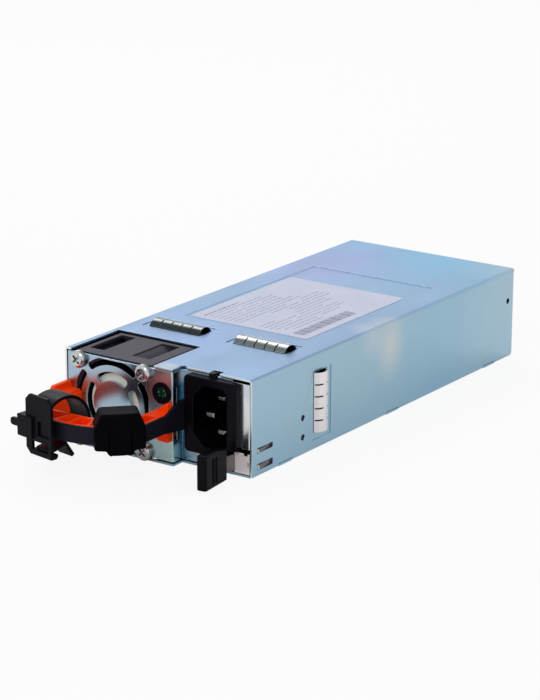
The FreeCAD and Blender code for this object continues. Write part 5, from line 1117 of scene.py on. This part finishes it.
@dataclass
class Plate:
    """Rating plate with ruled lines and a row of bars in place of words.

    Attributes:
        left: left end of the print area across the case.
        near: near end of the print area along the case.
        width: extent of the print area across the case.
        length: extent of the print area along the case.
        raise_by: how far the print stands above the film.
        first: place of the first printed line across the case, as a share of the width.
        pitch: distance between lines, as a share of the width.
        thick: width of a line; the first is twice as wide.
        rows: near end and length of the pieces of each line, as shares of the length.
        dashes: lengths of the dashes that a line is made of, used in turn.
        gap: distance between dashes.
        bar_left: left end of the bars, as a share of the width.
        bar_width: length of each bar across the case, as a share of the width.
        bar_near: near end of the row, as a share of the length.
        bar_pitch: distance between bars along the case.
        bar_shares: widths of the bars, as shares of the pitch, used in turn.
        bar_count: how many bars the row has.
    """

    left: float = -27.2 * MM
    near: float = -36.7 * MM
    width: float = 54.2 * MM
    length: float = 68.7 * MM
    raise_by: float = 0.02 * MM
    first: float = 0.05
    pitch: float = 0.047
    thick: float = 0.36 * MM
    rows: tuple[tuple[tuple[float, float], ...], ...] = (
        ((0.02, 0.18), (0.23, 0.12)), ((0.02, 0.30), (0.36, 0.20)), ((0.02, 0.24), (0.30, 0.30)),
        ((0.02, 0.40), (0.46, 0.12)), ((0.02, 0.18), (0.24, 0.34)), ((0.02, 0.34), (0.40, 0.24)),
        ((0.02, 0.22), (0.28, 0.40)), ((0.02, 0.44), (0.66, 0.18)), ((0.30, 0.26), (0.62, 0.24)),
        ((0.44, 0.20), (0.68, 0.16)), ((0.44, 0.30),), ((0.02, 0.12), (0.40, 0.34)),
        ((0.02, 0.30), (0.38, 0.20)), ((0.02, 0.22), (0.30, 0.42)), ((0.02, 0.44), (0.52, 0.22)),
        ((0.06, 0.34), (0.46, 0.16)), ((0.10, 0.30),))
    dashes: tuple[float, ...] = (2.6 * MM, 1.4 * MM, 3.6 * MM, 2.0 * MM, 3.0 * MM, 1.1 * MM, 2.3 * MM)
    gap: float = 0.55 * MM
    bar_left: float = 0.86
    bar_width: float = 0.10
    bar_near: float = 0.03
    bar_pitch: float = 1.45 * MM
    bar_shares: tuple[float, ...] = (0.62, 0.40, 0.52, 0.74, 0.36)
    bar_count: int = 27

    def strip(self, x: float, y: float, width: float, length: float) -> Piece:
        """Adds one printed strip.

        Args:
            x: left end.
            y: near end.
            width: extent along X.
            length: extent along Y.

        Returns:
            The strip, as thin as a film of ink.
        """
        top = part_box("rating_plate")[1][2]
        bpy.ops.mesh.primitive_cube_add(size=1.0, location=(x + width / 2, y + length / 2, top),
                                        scale=(width, length, self.raise_by * 2))
        return bpy.context.active_object

    def printed(self) -> Piece:
        """Prints the lines and the row of bars.

        Returns:
            The print, as one piece.
        """
        bpy.ops.object.select_all(action="DESELECT")
        strips = []
        for place, row in enumerate(self.rows):
            thick = self.thick if place else 2.0 * self.thick
            across = self.left + (self.first + place * self.pitch) * self.width
            for near, length in row:
                start, end = self.near + near * self.length, self.near + (near + length) * self.length
                while start < end:
                    dash = self.dashes[len(strips) % len(self.dashes)]
                    strips.append(self.strip(across, start, thick, dash))
                    start += dash + self.gap
        for index in range(self.bar_count):
            share = self.bar_shares[index % len(self.bar_shares)]
            strips.append(self.strip(self.left + self.bar_left * self.width,
                                     self.near + self.bar_near * self.length + index * self.bar_pitch,
                                     self.bar_width * self.width, share * self.bar_pitch))
        alone(strips[0])
        for strip in strips:
            strip.select_set(True)
        bpy.ops.object.join()
        piece = bpy.context.active_object
        settled(piece)
        piece.name = "plate_ruling"
        dressed_in(piece, Look.FIELD)
        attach(piece, Body.CASE.value)
        return piece

    def build(self) -> list[Piece]:
        """Dresses and prints the plate.

        Returns:
            The plate and its print.
        """
        return [refined("rating_plate", Look.FILM, None), self.printed()]


@dataclass
class Electronics:
    """Main board and the components inside the case.

    Attributes:
        looks: finish of each component.
    """

    looks: dict[str, Look] = field(default_factory=lambda: {
        "main_board": Look.BOARD, "gold_fingers": Look.GOLD, "insulator_sheet": Look.INSULATOR,
        "standoffs": Look.BRASS, "board_screws": Look.SCREW, "bulk_capacitors": Look.SLEEVE,
        "output_capacitors": Look.SLEEVE, "transformer_core": Look.FERRITE, "transformer_winding": Look.TAPE,
        "pfc_choke": Look.COIL, "emi_choke": Look.COIL, "filter_capacitor": Look.BOX,
        "heatsink_primary": Look.ALUMINIUM, "heatsink_secondary": Look.ALUMINIUM})

    def build(self) -> list[Piece]:
        """Gives the hidden components their finishes.

        Returns:
            The components.
        """
        for node, look in self.looks.items():
            cad_material(node, look)
        return [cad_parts[node] for node in self.looks]


# ---------------------------------------------------------------- studio
@dataclass(frozen=True)
class SoftLamp:
    """Rectangular lamp aimed at the object.

    Attributes:
        name: name of the lamp.
        place: where it stands.
        aim: what it points at.
        width: its width.
        height: its height.
        power: its power in watts.
    """

    name: str
    place: tuple[float, float, float]
    aim: tuple[float, float, float]
    width: float
    height: float
    power: float

    def build(self) -> None:
        """Adds the lamp to the scene."""
        data = bpy.data.lights.new(self.name, "AREA")
        data.shape = "RECTANGLE"
        data.size = self.width
        data.size_y = self.height
        data.energy = self.power
        lamp = bpy.data.objects.new(self.name, data)
        lamp.location = self.place
        lamp.rotation_euler = (Vector(self.aim) - Vector(self.place)).to_track_quat("-Z", "Y").to_euler()
        bpy.context.scene.collection.objects.link(lamp)


@dataclass
class Studio:
    """Pale floor, white surroundings, soft lamps and the camera.

    Attributes:
        azimuth: turn of the camera round the object, in degrees.
        elevation: its height above the horizon, in degrees.
        roll: its tilt, in degrees.
        camera_place: where it stands.
        lens: focal length in millimetres.
        sensor: width of its sensor in millimetres.
        clip: nearest and farthest distance that it sees.
        floor_size: side of the floor.
        floor_grey: colour of the floor under the light.
        floor_roughness: how matt the floor is.
        floor_white: share of plain white that the camera sees in the floor.
        sky: strength of the surroundings as a light.
        lamps: the soft lamps.
    """

    azimuth: float = 35.0106
    elevation: float = 17.0809
    roll: float = 0.1363
    camera_place: tuple[float, float, float] = (0.58327, -0.85555, 0.33799)
    lens: float = 133.565
    sensor: float = 36.0
    clip: tuple[float, float] = (0.05, 20.0)
    floor_size: float = 12.0
    floor_grey: Colour = (0.8, 0.8, 0.8)
    floor_roughness: float = 0.9
    floor_white: float = 0.88
    sky: float = 0.72
    lamps: tuple[SoftLamp, ...] = (
        SoftLamp("key", (0.30, -0.95, 0.85), (0.0, -0.06, 0.02), 0.5, 0.5, 3.0),
        SoftLamp("rim", (-0.64, 0.52, 0.82), (0.0, 0.0, 0.03), 0.5, 0.35, 2.4),
    )

    def floor(self) -> None:
        """Adds the floor, white to the camera apart from the object's shadow."""
        bpy.ops.object.select_all(action="DESELECT")
        bpy.ops.mesh.primitive_plane_add(size=self.floor_size, location=(0.0, 0.0, 0.0))
        floor = bpy.context.active_object
        floor.name = "studio_floor"
        material = bpy.data.materials.new("studio_floor")
        material.use_nodes = True
        tree = material.node_tree
        surface = tree.nodes["Principled BSDF"]
        surface.inputs["Base Color"].default_value = (*self.floor_grey, 1.0)
        surface.inputs["Roughness"].default_value = self.floor_roughness
        glow = tree.nodes.new("ShaderNodeEmission")
        glow.inputs["Color"].default_value = (1.0, 1.0, 1.0, 1.0)
        mix = tree.nodes.new("ShaderNodeMixShader")
        path = tree.nodes.new("ShaderNodeLightPath")
        share = tree.nodes.new("ShaderNodeMath")
        share.operation = "MULTIPLY"
        share.inputs[1].default_value = self.floor_white
        tree.links.new(path.outputs["Is Camera Ray"], share.inputs[0])
        tree.links.new(share.outputs["Value"], mix.inputs["Fac"])
        tree.links.new(surface.outputs["BSDF"], mix.inputs[1])
        tree.links.new(glow.outputs["Emission"], mix.inputs[2])
        tree.links.new(mix.outputs["Shader"], tree.nodes["Material Output"].inputs["Surface"])
        floor.data.materials.append(material)

    def world(self) -> None:
        """White background for the camera, a plain soft sky for the light."""
        world = bpy.data.worlds.new("studio_world")
        bpy.context.scene.world = world
        world.use_nodes = True
        tree = world.node_tree
        back = tree.nodes["Background"]
        back.inputs["Color"].default_value = (1.0, 1.0, 1.0, 1.0)
        path = tree.nodes.new("ShaderNodeLightPath")
        either = tree.nodes.new("ShaderNodeMath")
        either.operation = "MAXIMUM"
        tree.links.new(path.outputs["Is Camera Ray"], either.inputs[0])
        tree.links.new(path.outputs["Is Transmission Ray"], either.inputs[1])
        shown = tree.nodes.new("ShaderNodeMapRange")
        shown.inputs["To Min"].default_value = self.sky
        shown.inputs["To Max"].default_value = 1.0
        tree.links.new(either.outputs["Value"], shown.inputs["Value"])
        tree.links.new(shown.outputs["Result"], back.inputs["Strength"])

    def camera(self) -> None:
        """Adds the camera."""
        data = bpy.data.cameras.new("camera")
        data.lens = self.lens
        data.sensor_width = self.sensor
        data.clip_start, data.clip_end = self.clip
        camera = bpy.data.objects.new("camera", data)
        turn = (Matrix.Rotation(math.radians(self.azimuth), 4, "Z")
                @ Matrix.Rotation(math.radians(90.0 - self.elevation), 4, "X")
                @ Matrix.Rotation(math.radians(self.roll), 4, "Z"))
        camera.matrix_world = Matrix.Translation(self.camera_place) @ turn
        bpy.context.scene.collection.objects.link(camera)
        bpy.context.scene.camera = camera

    def build(self) -> None:
        """Sets up the studio."""
        self.floor()
        self.world()
        for lamp in self.lamps:
            lamp.build()
        self.camera()
        bpy.context.scene.view_settings.view_transform = "Standard"


def main() -> None:
    """Builds the power supply's looks and the studio round it."""
    logging.basicConfig(level=logging.INFO, format="%(message)s")
    for part in (Case(), Fan(), Inlet(), Lamp(), Handle(), Latch(), Contacts(), Plate(), Electronics()):
        for piece in part.build():
            LOG.info("%s: %s, %d faces", type(part).__name__, piece.name, len(piece.data.polygons))
    Studio().build()


if __name__ == "__main__":
    main()
